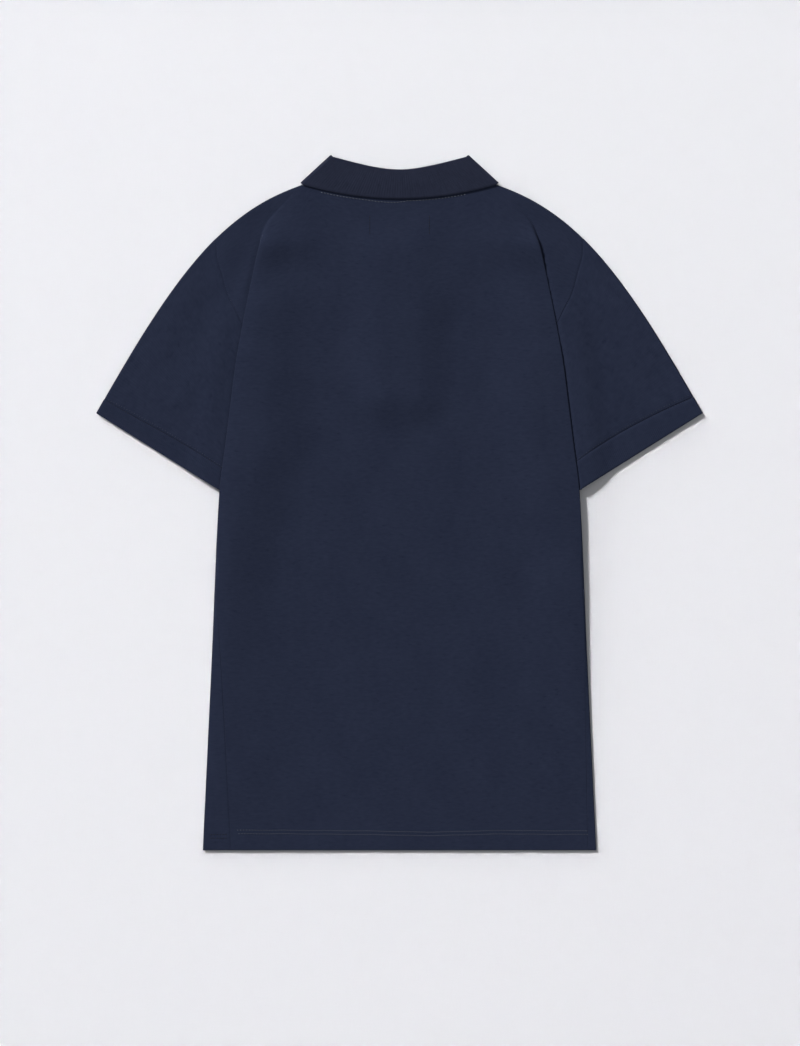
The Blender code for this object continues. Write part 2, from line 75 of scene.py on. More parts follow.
def through(table, column, at):
    # a smooth curve through a table's rows: cubic steps whose slopes never overshoot the rows
    x = np.array(table["up"], float)
    y = np.array(table[column], float)
    at = np.clip(at, x[0], x[-1])
    step = np.diff(x)
    slope = np.diff(y) / step
    both = slope[:-1] + slope[1:]
    mean = 2 * slope[:-1] * slope[1:] / np.where(both == 0, 1, both)
    inner = np.where(slope[:-1] * slope[1:] > 0, mean, 0.0)
    tangent = np.concatenate([[slope[0]], inner, [slope[-1]]])
    i = np.clip(np.searchsorted(x, at, side="right") - 1, 0, len(step) - 1)
    t = (at - x[i]) / step[i]
    bow = (1 - t) * (tangent[i] - slope[i]) - t * (tangent[i + 1] - slope[i])
    return y[i] + step[i] * (slope[i] * t + t * (1 - t) * bow)


def turned(length, degrees):
    return length * np.array([math.cos(math.radians(degrees)), math.sin(math.radians(degrees))])


def unit(vectors):
    return vectors / np.maximum(np.linalg.norm(vectors, axis=-1, keepdims=True), 1e-12)


# the garment's outline and the heights of its layers

outline = {
    "shoulderNeck": (111.8, 701.4),
    "sleeveTip": (320.7, 462.7),
    "neckHandle": (85.0, -20.6),  # length and slope of the shoulder curve's handles
    "tipHandle": (166.0, -60.7),
    "shoulderPoint": 194.5,
    "underarm": (150.0, 445.0),
    "hemSlope": 32.05,
    "sleeveOpening": 168.0,
    "cuffDepth": 18.5,
    "neckPoint": (92.2, 713.2),
    "clearOfCollar": (102.0, 704.2),  # where the shoulder comes out from under the leaf
    "backNeck": 696.0,
    "frontNeck": 634.0,
    "seamStart": 310.0,  # above this the sides are tucked in under the arms
    "pleatStart": 545.0,  # above this the tuck turns back out, to the armhole seam
    "crossing": 560.0,  # above this the armhole seam lies outside the fold
    "wrap": {-1: 30.0, 1: 9.0},  # how far the front turns on to the back at the hem
}
# the edge that shows on the back: the side, then the fold over the sleeve, up to the shoulder
edgeLine = {
    "up": (0, 200, 381.6, 429, 472, 514, 556, 599, 620, 641, 662.5, 689, 704),
    "out": (208, 198.6, 190, 184, 178.6, 173.3, 166, 157.4, 152.9, 147.9, 140.5, 117.6, 104),
}
armholeLine = {
    "up": (445, 500, 536, 556, 571, 590, 614, 632, 660),
    "out": (150, 152, 158.5, 166, 173, 182.5, 189.2, 193.8, 194.5),
}
# the tuck under the side: its depth, its bend and turn, and the heights of its sewn ends
tuckLine = {
    "up": (310, 318, 328, 345, 364, 400, 440, 500, 536, 560),
    "depth": (0.3, 2.4, 4.6, 9.3, 15.5, 24, 32, 22.8, 9.0, 9.0),
    "bend": (3.85, 2.5, 1.95, 1.5, 0.7, 0.65, 0.65, 0.65, 0.65, 0.65),
    "turn": (90, 118, 145, 172, 180, 180, 180, 180, 180, 180),
    "back": (4.55, 4.8, 5.0, 5.0, 6.9, 6.9, 6.6, 6.1, 5.9, 5.7),
    "front": (4.15, 3.9, 3.7, 3.7, 1.8, 1.8, 1.8, 1.8, 1.8, 1.8),
}
# the pleat that the tuck becomes above the armhole seam, and how it opens out at the shoulder
pleatLine = {
    "up": (560, 590, 612, 630, 641, 652, 668, 690, 704),
    "depth": (9, 8.5, 7.5, 5.5, 4, 2.5, 1.6, 0.9, 0.5),
    "bend": (0.65, 0.65, 0.65, 0.8, 1.2, 2.6, 4.5, 8.0, 12.0),
    "turn": (180, 180, 175, 150, 110, 58, 24, 8, 2),
}
carriedLine = {"up": (0, 100, 180, 250, 310, 520, 545), "rise": (0, 0.4, 1.8, 4.2, 6.4, 6.4, 5.1)}
sleeveLift = {"up": (545, 571, 592, 612), "rise": (2.6, 2.4, 1.0, 0)}

placket = {"width": 32.0, "lowerEnd": 484.0, "buttonUp": (617.0, 562.0, 507.0), "buttonThick": 2.4,
           "stitchInset": 2.6, "stitchPitch": 2.9}
collar = {
    "middle": 3.65,  # height of the plane that the flattened collar folds about
    "standRise": 0.95,
    "leafRise": 2.8,
    "foldPeak": (71.6, 733.1),
    "foldDip": 719.25,
    "foldFront": (3.2, 662.0),
    "sideLeaf": 42.0,
    "sideSlope": -42.6,
    "leafBack": 689.9,
    "leafPoint": (38.0, 597.0),
    "ribDepth": 0.13,
    "stepsPerRib": 6,
    "ribs": (35, 3, 49),  # ribs in half the back, round the side, and along half the front
    "foldBow": 32.9,  # how sharply the fold rises away from the centre back
    "frontSag": 6.0,  # how far the fold sags along the front
}


def shoulderCurve(t):
    # cubic curve from the collar to the sleeve's tip: the sum of each handle's share at t
    ends = np.array([outline["shoulderNeck"], outline["sleeveTip"]])
    leaving, arriving = turned(*outline["neckHandle"]), turned(*outline["tipHandle"])
    points = [ends[0], ends[0] + leaving, ends[1] - arriving, ends[1]]
    t = np.asarray(t, float)[..., None]
    return sum(math.comb(3, i) * (1 - t) ** (3 - i) * t**i * p for i, p in enumerate(points))


curveT = np.linspace(0, 1, 801)
curvePoints = shoulderCurve(curveT)
shoulderT = float(np.interp(outline["shoulderPoint"], curvePoints[:, 0], curveT))
shoulderUp = float(shoulderCurve(shoulderT)[1])


def shoulderEdge(out):
    # the shoulder curve, carried on straight under the collar and drawn in beneath its leaf
    neckOut, neckUp = outline["shoulderNeck"]
    straight = neckUp + (neckOut - out) * math.tan(math.radians(-outline["neckHandle"][1]))
    openEdge = np.where(out < neckOut, straight, np.interp(out, curvePoints[:, 0], curvePoints[:, 1]))
    clearOut, clearUp = outline["clearOfCollar"]
    emerging = openEdge - 0.9 * (1 - ease(out - clearOut))
    pointOut, pointUp = outline["neckPoint"]
    under = pointUp + (out - pointOut) * (clearUp - pointUp) / (clearOut - pointOut)
    return np.where(out < clearOut, under, emerging)


def backTop(out):
    # the back neck's shallow curve, then the shoulder
    pointOut, pointUp = outline["neckPoint"]
    rise = (np.minimum(out, pointOut) / pointOut) ** 2.2
    neck = outline["backNeck"] + (pointUp - outline["backNeck"]) * rise
    return np.where(out <= pointOut, neck, shoulderEdge(out))


def frontTop(out):
    # the front neck's deeper curve from the placket's slot, then the shoulder
    pointOut, pointUp = outline["neckPoint"]
    slot = placket["width"] / 2
    t = np.clip((out - slot) / (pointOut - slot), 0, 1)
    neck = outline["frontNeck"] + (pointUp - outline["frontNeck"]) * t**1.5
    return np.where(out <= pointOut, neck, shoulderEdge(out))


def leafShare(out, up):
    # 1 over the collar's front leaf and inside it, easing to 0 beyond its free edge
    start = np.array(collar["leafPoint"])
    along = unit(np.array(outline["shoulderNeck"]) - start)
    past = (out - start[0]) * along[1] - (up - start[1]) * along[0]
    return 1 - ease((past - 3.0) / 45.0)


def placketShare(out, up):
    # 1 over the placket, easing to 0 within 45 mm of it
    beside = np.maximum(out - placket["width"] / 2, 0)
    beyond = np.maximum(np.maximum(placket["lowerEnd"] - up, up - outline["frontNeck"]), 0)
    return 1 - ease(np.hypot(beside, beyond) / 45.0)


def frontHeight(out, up):
    # flat on the surface, raised over the collar's leaf and the buttons by the larger of the two
    overLeaf = 2.2 * leafShare(out, up)
    overPlacket = 3.0 * placketShare(out, up)
    return 0.5 + (overLeaf**4 + overPlacket**4) ** 0.25


def pleatDrop(up):
    # height of the pleat: both bends and the slope between them
    turn = np.radians(through(pleatLine, "turn", up))
    bend = through(pleatLine, "bend", up)
    return 2 * bend * (1 - np.cos(turn)) + through(pleatLine, "depth", up) * np.sin(turn)


def carried(up):
    # how high the back is carried at its edge by what lies beneath
    above = pleatDrop(up) + through(sleeveLift, "rise", up)
    below = through(carriedLine, "rise", up)
    return below + (above - below) * ease((up - 535.0) / 25.0)


def backHeight(out, up):
    # one layer above the front, carried up by the sleeve and the tucks between them
    inward = through(edgeLine, "out", up) - out
    plateau = through(tuckLine, "depth", np.clip(up, 310, 560)) + 6.0
    rise = carried(up) * (1 - ease((inward - plateau) / 62.0))
    return (frontHeight(out, up) + cloth["layer"] + rise + 0.6 * leafShare(out, up)
            + 2.7 * placketShare(out, up))


def sleeveHeight(out, up, along):
    # the sleeve's lower wall, lifted where it lies on the front's tuck
    inside = 1 - ease((out - through(edgeLine, "out", up) - 14.0) / 30.0)
    return 0.5 + through(sleeveLift, "rise", up) * inside + 0.3 * along


# creases and swells: each runs from one point to another, with its width and height

backCreases = {
    "name": ("left pleat ridge", "right upper hollow", "left blade ridge", "right blade ridge",
             "right blade trough", "centre trough", "right waist trough", "left waist ridge",
             "left low trough", "right low trough", "low drag line", "neck drag left", "neck drag right"),
    "fromX": (-124, 112, -104, 88, 55, 8, 60, -90, -150, 135, -40, -60, 52),
    "fromUp": (672, 684, 640, 648, 620, 560, 330, 420, 250, 300, 210, 676, 672),
    "toX": (-153, 128, -92, 84, 58, 16, 36, -70, -136, 120, 60, -92, 84),
    "toUp": (604, 640, 540, 560, 500, 380, 230, 230, 120, 90, 180, 560, 540),
    "width": (13, 8, 15, 20, 16, 26, 30, 26, 18, 24, 18, 20, 22),
    "height": (1.5, -0.4, 0.3, 0.3, -0.25, -0.3, -0.4, 0.3, -0.3, -0.4, 0.2, 0.3, 0.3),
}
sleeveCreases = {
    "name": ("left ridge beside the pleat", "left cap ridge", "left sleeve fold", "left underarm ridge",
             "right cap ridge", "right sleeve fold", "right underarm ridge"),
    "fromX": (-133, -182, -215, -205, 196, 222, 205),
    "fromUp": (668, 652, 600, 520, 630, 590, 520),
    "toX": (-166, -196, -262, -236, 214, 262, 240),
    "toUp": (588, 590, 520, 470, 560, 515, 462),
    "width": (8, 13, 13, 10, 15, 15, 11),
    "height": (1.3, 0.8, 0.9, 0.7, 0.6, 0.7, 0.6),
}
sideRoll = {"height": {-1: 2.3, 1: 0.7}, "width": 19.0, "fade": 90.0}


def creaseHeight(x, up, creases):
    # the sum of the creases: a bell across each line, fading out evenly past both ends
    starts = np.stack([creases["fromX"], creases["fromUp"]], -1).astype(float)
    ways = np.stack([creases["toX"], creases["toUp"]], -1) - starts
    lengths = np.linalg.norm(ways, axis=1)
    ways = ways / lengths[:, None]
    dx, dy = x[..., None] - starts[:, 0], up[..., None] - starts[:, 1]
    along = (dx * ways[:, 0] + dy * ways[:, 1]) / lengths
    across = dx * ways[:, 1] - dy * ways[:, 0]
    fade = ease((along + 0.2) / 0.4) * (1 - ease((along - 0.8) / 0.4))
    return np.sum(np.array(creases["height"]) * hump(across / np.array(creases["width"])) * fade, axis=-1)


def slowSwell(x, up):
    # very soft uneven waves, always upward, so that no stretch of cloth is dead flat
    wave = np.sin(x / 37.0 + 0.9 * np.sin(up / 81.0)) * np.sin(up / 120.0 + 1.3)
    small = np.sin(x / 17.0 + up / 210.0 + 2.0) * np.sin(up / 67.0 + x / 160.0)
    return 0.12 + 0.08 * wave + 0.03 * small


hem = {"rows": (20.7, 16.9), "pitch": 3.1, "full": 0.2, "drawn": 0.08, "leftDrop": 4.0}


def hemWander(x):
    # the stitched rows stray a little: lower past the middle, with a fine unevenness
    swing = 0.7 * hump((x + 150) / 70) - 1.3 * hump((x - 28) / 45) + 0.5 * hump((x - 110) / 30)
    return swing + 0.15 * np.sin(x / 7.0)


def hemHeight(x, up):
    # the turned hem: a little fuller below its stitches, and drawn in along both rows
    full = hem["full"] * (1 - ease((up - 19.0) / 8.0))
    return full - hem["drawn"] * sum(hump((up - hemWander(x) - row) / 1.6) for row in hem["rows"])


def backExtra(x, up):
    # creases, swells, the rolled sides and the hem, on top of the back's plain height
    side = np.where(x < 0, sideRoll["height"][-1], sideRoll["height"][1])
    inward = through(edgeLine, "out", up) - np.abs(x)
    short = 1 - np.clip(inward / sideRoll["width"], 0, 1)
    roll = side * (1 - short**2) * (1 - ease((inward - sideRoll["width"]) / sideRoll["fade"]))
    roll = roll * (1 - ease((up - 585.0) / 45.0))
    nearNeck = 1 - ease((up - 655.0) / 40.0)
    low = ease((up - 8.0) / 60.0)
    beyond = ease((inward + 4.0) / 8.0)
    loose = (creaseHeight(x, up, backCreases) + slowSwell(x, up)) * nearNeck * beyond
    return loose + roll * nearNeck * low + hemHeight(x, up)


crevice = {"height": {-1: 0.2, 1: 2.6}, "gap": 0.8, "wall": 1.5, "from": 4.0, "fade": 42.0,
           "endsAt": 632.0, "endsWithin": 52.0}


def overShoulder(x, up):
    # cloth beside the fold: it swells up against the fold, leaving a narrow crevice, and has its own
    # ridges; upward only
    past = np.abs(x) - through(edgeLine, "out", up)
    full = np.where(x < 0, crevice["height"][-1], crevice["height"][1])
    full = full * (1 - ease((up - crevice["endsAt"]) / crevice["endsWithin"]))
    rising = ease((past - crevice["gap"]) / crevice["wall"])
    sinking = 1 - ease((past - crevice["from"]) / crevice["fade"])
    return creaseHeight(x, up, sleeveCreases) * ease(past / 7.0) + full * rising * sinking


# meshes

def toMetres(points):
    placed = points * mm
    placed[..., 1] += hemLine
    return placed


def addPiece(name, mesh, material):
    mesh.materials.append(material)
    mesh.shade_smooth()
    piece = bpy.data.objects.new(name, mesh)
    bpy.context.scene.collection.objects.link(piece)
    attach(piece, "root")
    return piece


def makeSheet(name, points, material, wall, closed=False, keep=None):
    # a grid of points (rows, columns, 3) becomes a sheet with its own lengths as UV, and a wall
    rows, columns = points.shape[:2]
    ring = np.concatenate([points, points[:, :1]], 1) if closed else points
    steps = np.linalg.norm(np.diff(ring, axis=1), axis=2)
    across = np.concatenate([np.zeros((rows, 1)), np.cumsum(steps, 1)], 1)
    across -= across[:, ring.shape[1] // 2][:, None]
    middle = points[:, columns // 2]
    along = np.concatenate([[0], np.cumsum(np.linalg.norm(np.diff(middle, axis=0), axis=1))])
    lengths = np.dstack([across, np.broadcast_to(along[:, None], across.shape)]) * mm
    r, c = np.meshgrid(np.arange(rows - 1), np.arange(ring.shape[1] - 1), indexing="ij")
    r, c = (r.ravel(), c.ravel()) if keep is None else (r[keep], c[keep])
    cornerRow, cornerColumn = np.stack([r, r, r + 1, r + 1], -1), np.stack([c, c + 1, c + 1, c], -1)
    faces = cornerRow * columns + cornerColumn % columns
    used = np.zeros(rows * columns, bool)
    used[faces] = True
    renumber = np.cumsum(used) - 1
    mesh = bpy.data.meshes.new(name)
    mesh.from_pydata(toMetres(points.reshape(-1, 3))[used], [], renumber[faces])
    layer = mesh.uv_layers.new(name="clothLengths")
    layer.data.foreach_set("uv", lengths[cornerRow, cornerColumn].astype(np.float32).ravel())
    piece = addPiece(name, mesh, material)
    thick = piece.modifiers.new("wall", "SOLIDIFY")
    thick.thickness = wall * mm
    thick.offset = 0.0
    # the narrow walls don't bend the shading of the faces beside them
    piece.modifiers.new("evenShading", "WEIGHTED_NORMAL").weight = 100
    sides = np.cross(points[1:, 1:] - points[:-1, :-1], points[1:, :-1] - points[:-1, 1:])
    size = np.linalg.norm(sides, axis=2) / 2
    shown = size.sum() if keep is None else size[keep].sum()
    print(f"{name}: {len(faces)} faces, {shown * 1e-6:.4f} square metres")
    return piece


def surfaceNormals(points):
    # across each cell: the step along the columns crossed with the step along the rows
    return unit(np.cross(np.gradient(points, axis=1), np.gradient(points, axis=0)))


def stitchPlaces(line, pitch, start=0.5):
    # evenly spaced places along a line of points, and the line's direction at each
    passed = np.concatenate([[0], np.cumsum(np.linalg.norm(np.diff(line, axis=0), axis=1))])
    at = np.arange(start * pitch, passed[-1], pitch)

    def spot(where):
        return np.stack([np.interp(where, passed, line[:, k]) for k in range(3)], -1)

    return spot(at), unit(spot(at + 0.4) - spot(at - 0.4))


def makeStitches(name, runs, material, radius=0.2):
    # one short thread for each place in the runs (centres, ways, normal, length): a tube of five
    # rings, arched above the cloth and sinking into it at both ends
    centres = np.concatenate([run[0] for run in runs])
    ways = unit(np.concatenate([run[1] for run in runs]))
    normals = np.concatenate([np.broadcast_to(np.asarray(run[2], float), run[0].shape) for run in runs])
    length = np.concatenate([np.full(len(run[0]), run[3]) for run in runs])
    normals = unit(normals - ways * np.sum(normals * ways, axis=1, keepdims=True))
    sides = np.cross(ways, normals)
    t = np.array([-0.5, -0.3, 0.0, 0.3, 0.5])
    girth = radius * np.array([0.35, 0.9, 1.0, 0.9, 0.35])
    lift = radius * (0.4 - 4.4 * np.square(t))
    turns = np.arange(6) * math.pi / 3
    ring = (centres[:, None, None] + ways[:, None, None] * (t * length[:, None])[:, :, None, None]
            + normals[:, None, None] * (lift[:, None] + girth[:, None] * np.sin(turns))[None, :, :, None]
            + sides[:, None, None] * (girth[:, None] * np.cos(turns))[None, :, :, None])
    count, rings, around = ring.shape[:3]
    base = np.arange(count)[:, None] * rings * around
    r, c = (a.ravel() for a in np.meshgrid(np.arange(rings - 1), np.arange(around), indexing="ij"))
    after = (c + 1) % around
    quad = np.stack([r * around + c, (r + 1) * around + c, (r + 1) * around + after, r * around + after], -1)
    quads = (base[:, :, None] + quad[None]).reshape(-1, 4)
    caps = np.stack([np.arange(around), rings * around - 1 - np.arange(around)])
    caps = (base[:, :, None] + caps[None]).reshape(-1, around)
    mesh = bpy.data.meshes.new(name)
    mesh.from_pydata(toMetres(ring.reshape(-1, 3)), [], quads.tolist() + caps.tolist())
    return addPiece(name, mesh, material)


# materials

finish = {
    "jerseyDeep": (0.0121, 0.0168, 0.0368, 1.0),
    "jerseyLight": (0.0202, 0.0265, 0.0523, 1.0),
    "ribDeep": (0.0125, 0.0155, 0.0310, 1.0),
    "ribLight": (0.0205, 0.0248, 0.0465, 1.0),
    "thread": (0.130, 0.150, 0.195, 1.0),
    "threadAtCuffs": (0.045, 0.053, 0.078, 1.0),
    "threadDark": (0.004, 0.005, 0.010, 1.0),
    "button": (0.012, 0.016, 0.032, 1.0),
    "floor": (0.502, 0.507, 0.526, 1.0),
}


def link(tree, source, target):
    tree.links.new(source, target)


def mathNode(tree, operation, *values):
    node = tree.nodes.new("ShaderNodeMath")
    node.operation = operation
    for socket, value in zip(node.inputs, values):
        if isinstance(value, (int, float)):
            socket.default_value = value
        else:
            link(tree, value, socket)
    return node.outputs[0]


def stretchedNoise(tree, source, scale, size, detail):
    # noise on coordinates stretched by scale
    stretch = tree.nodes.new("ShaderNodeMapping")
    stretch.inputs["Scale"].default_value = scale
    link(tree, source, stretch.inputs["Vector"])
    noise = tree.nodes.new("ShaderNodeTexNoise")
    noise.inputs["Scale"].default_value = size
    noise.inputs["Detail"].default_value = detail
    link(tree, stretch.outputs[0], noise.inputs["Vector"])
    return noise.outputs[0]


def newGroup(name, inputs, outputs):
    tree = bpy.data.node_groups.new(name, "ShaderNodeTree")
    for socketName, kind, value in inputs:
        made = tree.interface.new_socket(name=socketName, in_out="INPUT", socket_type=kind)
        if value is not None:
            made.default_value = value
    for socketName, kind in outputs:
        tree.interface.new_socket(name=socketName, in_out="OUTPUT", socket_type=kind)
    return tree, tree.nodes.new("NodeGroupInput"), tree.nodes.new("NodeGroupOutput")


def knitGroup():
    # loops of yarn: slanted legs on both sides of each wale, in courses one above the other, with
    # short uneven streaks along the courses and slow clouds of darker and lighter tone
    inputs = [("Lengths", "NodeSocketVector", None), ("Wale", "NodeSocketFloat", 0.0009),
              ("Course", "NodeSocketFloat", 0.0007)]
    outputs = [(name, "NodeSocketFloat") for name in ("Height", "Streak", "Cloud")]
    tree, start, end = newGroup("knit loops", inputs, outputs)
    lengths = start.outputs["Lengths"]
    split = tree.nodes.new("ShaderNodeSeparateXYZ")
    link(tree, lengths, split.inputs[0])
    wale = mathNode(tree, "DIVIDE", split.outputs[0], start.outputs["Wale"])
    course = mathNode(tree, "DIVIDE", split.outputs[1], start.outputs["Course"])
    leg = mathNode(tree, "ABSOLUTE", mathNode(tree, "SUBTRACT", mathNode(tree, "FRACT", wale), 0.5))
    slanted = mathNode(tree, "MULTIPLY_ADD", leg, 1.1, course)
    across = mathNode(tree, "ABSOLUTE", mathNode(tree, "SINE", mathNode(tree, "MULTIPLY", wale, 2 * math.pi)))
    down = mathNode(tree, "ABSOLUTE", mathNode(tree, "SINE", mathNode(tree, "MULTIPLY", slanted, math.pi)))
    link(tree, mathNode(tree, "MULTIPLY", across, down), end.inputs["Height"])
    thin = stretchedNoise(tree, lengths, (0.2, 1.0, 1.0), 800.0, 2.0)
    flecks = stretchedNoise(tree, lengths, (0.45, 1.0, 1.0), 300.0, 1.0)
    both = mathNode(tree, "MULTIPLY_ADD", flecks, 0.5, mathNode(tree, "MULTIPLY", thin, 0.5))
    marks = stretchedNoise(tree, lengths, (0.35, 1.0, 1.0), 420.0, 0.0)
    dark = mathNode(tree, "MAXIMUM", mathNode(tree, "SUBTRACT", marks, 0.68), 0.0)
    link(tree, mathNode(tree, "MULTIPLY_ADD", dark, -1.6, both), end.inputs["Streak"])
    link(tree, stretchedNoise(tree, lengths, (1.0, 0.7, 1.0), 27.0, 2.0), end.inputs["Cloud"])
    return tree


def plainShader(name, colour, roughness, sheen=0.0):
    material = bpy.data.materials.new(name)
    material.use_nodes = True
    shader = material.node_tree.nodes["Principled BSDF"]
    shader.inputs["Base Color"].default_value = colour
    shader.inputs["Roughness"].default_value = roughness
    shader.inputs["Sheen Weight"].default_value = sheen
    shader.inputs["Sheen Roughness"].default_value = 0.5
    shader.inputs["Specular IOR Level"].default_value = 0.12
    return material, shader


def mixColour(tree, shade, first, second, target):
    mix = tree.nodes.new("ShaderNodeMix")
    mix.data_type = "RGBA"
    mix.inputs[6].default_value = first
    mix.inputs[7].default_value = second
    link(tree, shade, mix.inputs[0])
    link(tree, mix.outputs[2], target)


def addRelief(tree, height, strength, distance, shader):
    relief = tree.nodes.new("ShaderNodeBump")
    relief.inputs["Strength"].default_value = strength
    relief.inputs["Distance"].default_value = distance
    link(tree, height, relief.inputs["Height"])
    link(tree, relief.outputs[0], shader.inputs["Normal"])


def clothMaterial(name, group, deep, light, wale, course, bump, streaks, clouds):
    # shade = half, moved by the streaks and the clouds, which are the yarn's own uneven tone, and darker in
    # the loops' hollows, which is painted shade
    material, shader = plainShader(name, light, 0.92, 0.02)
    shader.inputs["Sheen Tint"].default_value = (0.62, 0.70, 1.0, 1.0)
    tree = material.node_tree
    lengths = tree.nodes.new("ShaderNodeUVMap")
    lengths.uv_map = "clothLengths"
    knit = tree.nodes.new("ShaderNodeGroup")
    knit.node_tree = group
    knit.inputs["Wale"].default_value = wale
    knit.inputs["Course"].default_value = course
    link(tree, lengths.outputs[0], knit.inputs["Lengths"])
    shade = 0.5
    # the loops' height also darkens their hollows in the colour: painted shade
    for output, middle, weight in (("Streak", 0.5, streaks), ("Cloud", 0.5, clouds), ("Height", 0.4, 0.35)):
        away = mathNode(tree, "SUBTRACT", knit.outputs[output], middle)
        shade = mathNode(tree, "MULTIPLY_ADD", away, weight, shade)
    mixColour(tree, shade, deep, light, shader.inputs["Base Color"])
    addRelief(tree, knit.outputs["Height"], bump, 0.00025, shader)
    return material


def threadMaterial(name, colour):
    # twisted thread: small light and dark turns, with a fine relief
    material, shader = plainShader(name, colour, 0.6, 0.1)
    tree = material.node_tree
    place = tree.nodes.new("ShaderNodeTexCoord")
    twist = stretchedNoise(tree, place.outputs["Object"], (1.0, 1.0, 1.0), 420.0, 1.0)
    deep, bright = (tuple(k * c for c in colour[:3]) + (1.0,) for k in (0.45, 1.3))
    mixColour(tree, twist, deep, bright, shader.inputs["Base Color"])
    addRelief(tree, twist, 0.4, 0.0001, shader)
    return material


def buttonMaterial():
    # resin with a faint cloudy grain, and a fine unevenness in its gloss
    material, shader = plainShader("button resin", finish["button"], 0.3)
    shader.inputs["Specular IOR Level"].default_value = 0.5
    tree = material.node_tree
    place = tree.nodes.new("ShaderNodeTexCoord")
    grain = stretchedNoise(tree, place.outputs["Object"], (1.0, 1.0, 1.0), 380.0, 4.0)
    mixColour(tree, grain, (0.008, 0.011, 0.024, 1.0), (0.020, 0.026, 0.050, 1.0),
              shader.inputs["Base Color"])
    link(tree, mathNode(tree, "MULTIPLY_ADD", grain, 0.2, 0.22), shader.inputs["Roughness"])
    return material


knit = knitGroup()
jersey = clothMaterial("navy jersey", knit, finish["jerseyDeep"], finish["jerseyLight"],
                       0.0009, 0.0007, 0.3, 1.4, 0.7)
cuffKnit = clothMaterial("navy cuff rib", knit, finish["jerseyDeep"], finish["jerseyLight"],
                         0.0010, 0.0007, 0.25, 1.4, 0.7)
ribKnit = clothMaterial("navy rib", knit, finish["ribDeep"], finish["ribLight"],
                        0.0010, 0.0007, 0.25, 1.4, 1.0)
thread = threadMaterial("seam thread", finish["thread"])
cuffThread = threadMaterial("cuff thread", finish["threadAtCuffs"])
darkThread = threadMaterial("seam thread in shade", finish["threadDark"])
resin = buttonMaterial()
print("materials made")


# the two body panels

panel = {
    "inner": 78,  # columns from the centre to the side
    "backSteps": (14, 8, 10, 16),  # columns in the bend, the tuck, the counter bend and the shoulder
    "frontSteps": (12, 10),
    "hemRows": (0, 2, 5, 8, 11, 14, 16, 17.5, 18.6, 19.7, 21.5, 22.8, 24.0, 26, 29, 33),
    "bodyRows": 104,
    "topRows": 56,
}


def panelRows():
    # heights of the rows: closer along the hem, with a row on the placket's lower end
    body = np.linspace(panel["hemRows"][-1], placket["lowerEnd"], panel["bodyRows"])[1:]
    top = placket["lowerEnd"] + (shoulderUp - placket["lowerEnd"]) * np.linspace(0, 1, panel["topRows"])[1:]
    return np.concatenate([panel["hemRows"], body, top])


def passedShares(counts):
    # how much of each stretch in turn every column has passed, from 0 to 1
    column = np.arange(sum(counts) + 1)
    starts = np.cumsum((0,) + counts)
    return [np.clip((column - starts[i]) / counts[i], 0, 1) for i in range(len(counts))]


def backSide(up, side):
    # past its flat part the back runs round a bend, along the tuck beneath it, round the counter bend
    # and out to the armhole seam; below, it only goes as far round the side as the side seam
    bendPart, tuckPart, counterPart, shoulderPart = passedShares(panel["backSteps"])
    edge = through(edgeLine, "out", up)
    low, pleated = up <= outline["seamStart"], up >= outline["pleatStart"]
    at = np.clip(up, outline["seamStart"], outline["crossing"])
    radius = (backHeight(edge, up) - frontHeight(edge, up)) / 2
    bend, turn, depth = (
        np.where(low, plain, np.where(pleated, through(pleatLine, name, up), through(tuckLine, name, at)))
        for name, plain in (("bend", radius), ("turn", 90.0), ("depth", 0))
    )
    turn = np.radians(turn)
    start = edge - bend * np.sin(np.minimum(turn, math.pi / 2)) - 0.5 * depth * np.clip(np.cos(turn), 0, None)
    reach = math.pi / 2 * radius - outline["wrap"][side] * (1 - up / outline["seamStart"]) - cloth["sideSeam"]
    first = np.minimum(reach - 6.0, 0)
    s = np.where(low, first + (reach - first) * bendPart, bend * turn * bendPart)
    angle = np.clip(s / bend, 0, turn)
    top = backHeight(start + np.minimum(s, 0), up)
    out = start + np.minimum(s, 0) + bend * np.sin(angle)
    high = top - bend * (1 - np.cos(angle))
    arcEnd = top - bend * (1 - np.cos(turn))
    sewn = through(tuckLine, "back", at)
    out = out + np.where(low, 0, depth * np.where(pleated, np.cos(turn), -1.0)) * tuckPart
    high = high + np.where(low, 0, np.where(pleated, -depth * np.sin(turn), sewn - arcEnd)) * tuckPart
    left = turn * (1 - counterPart)
    out = out + np.where(pleated, bend * (np.sin(turn) - np.sin(left)), 0)
    high = high - np.where(pleated, bend * (np.cos(left) - np.cos(turn)), 0)
    seam = through(armholeLine, "out", up) - cloth["seam"]
    landingOut = start + 2 * bend * np.sin(turn) + depth * np.cos(turn)
    landingHigh = top - 2 * bend * (1 - np.cos(turn)) - depth * np.sin(turn)
    out = out + np.where(pleated, (seam - landingOut) * shoulderPart, 0)
    floor, beside = frontHeight(edge, up), sleeveHeight(seam, up, 0.0)
    shoulder = floor + (beside - floor) * ease((out - edge + 2.0) / np.maximum(seam - edge + 2.0, 1.0))
    landed = np.maximum(shoulder, beside) + cloth["layer"] - landingHigh
    return out, high + np.where(pleated, landed * ease(shoulderPart), 0)


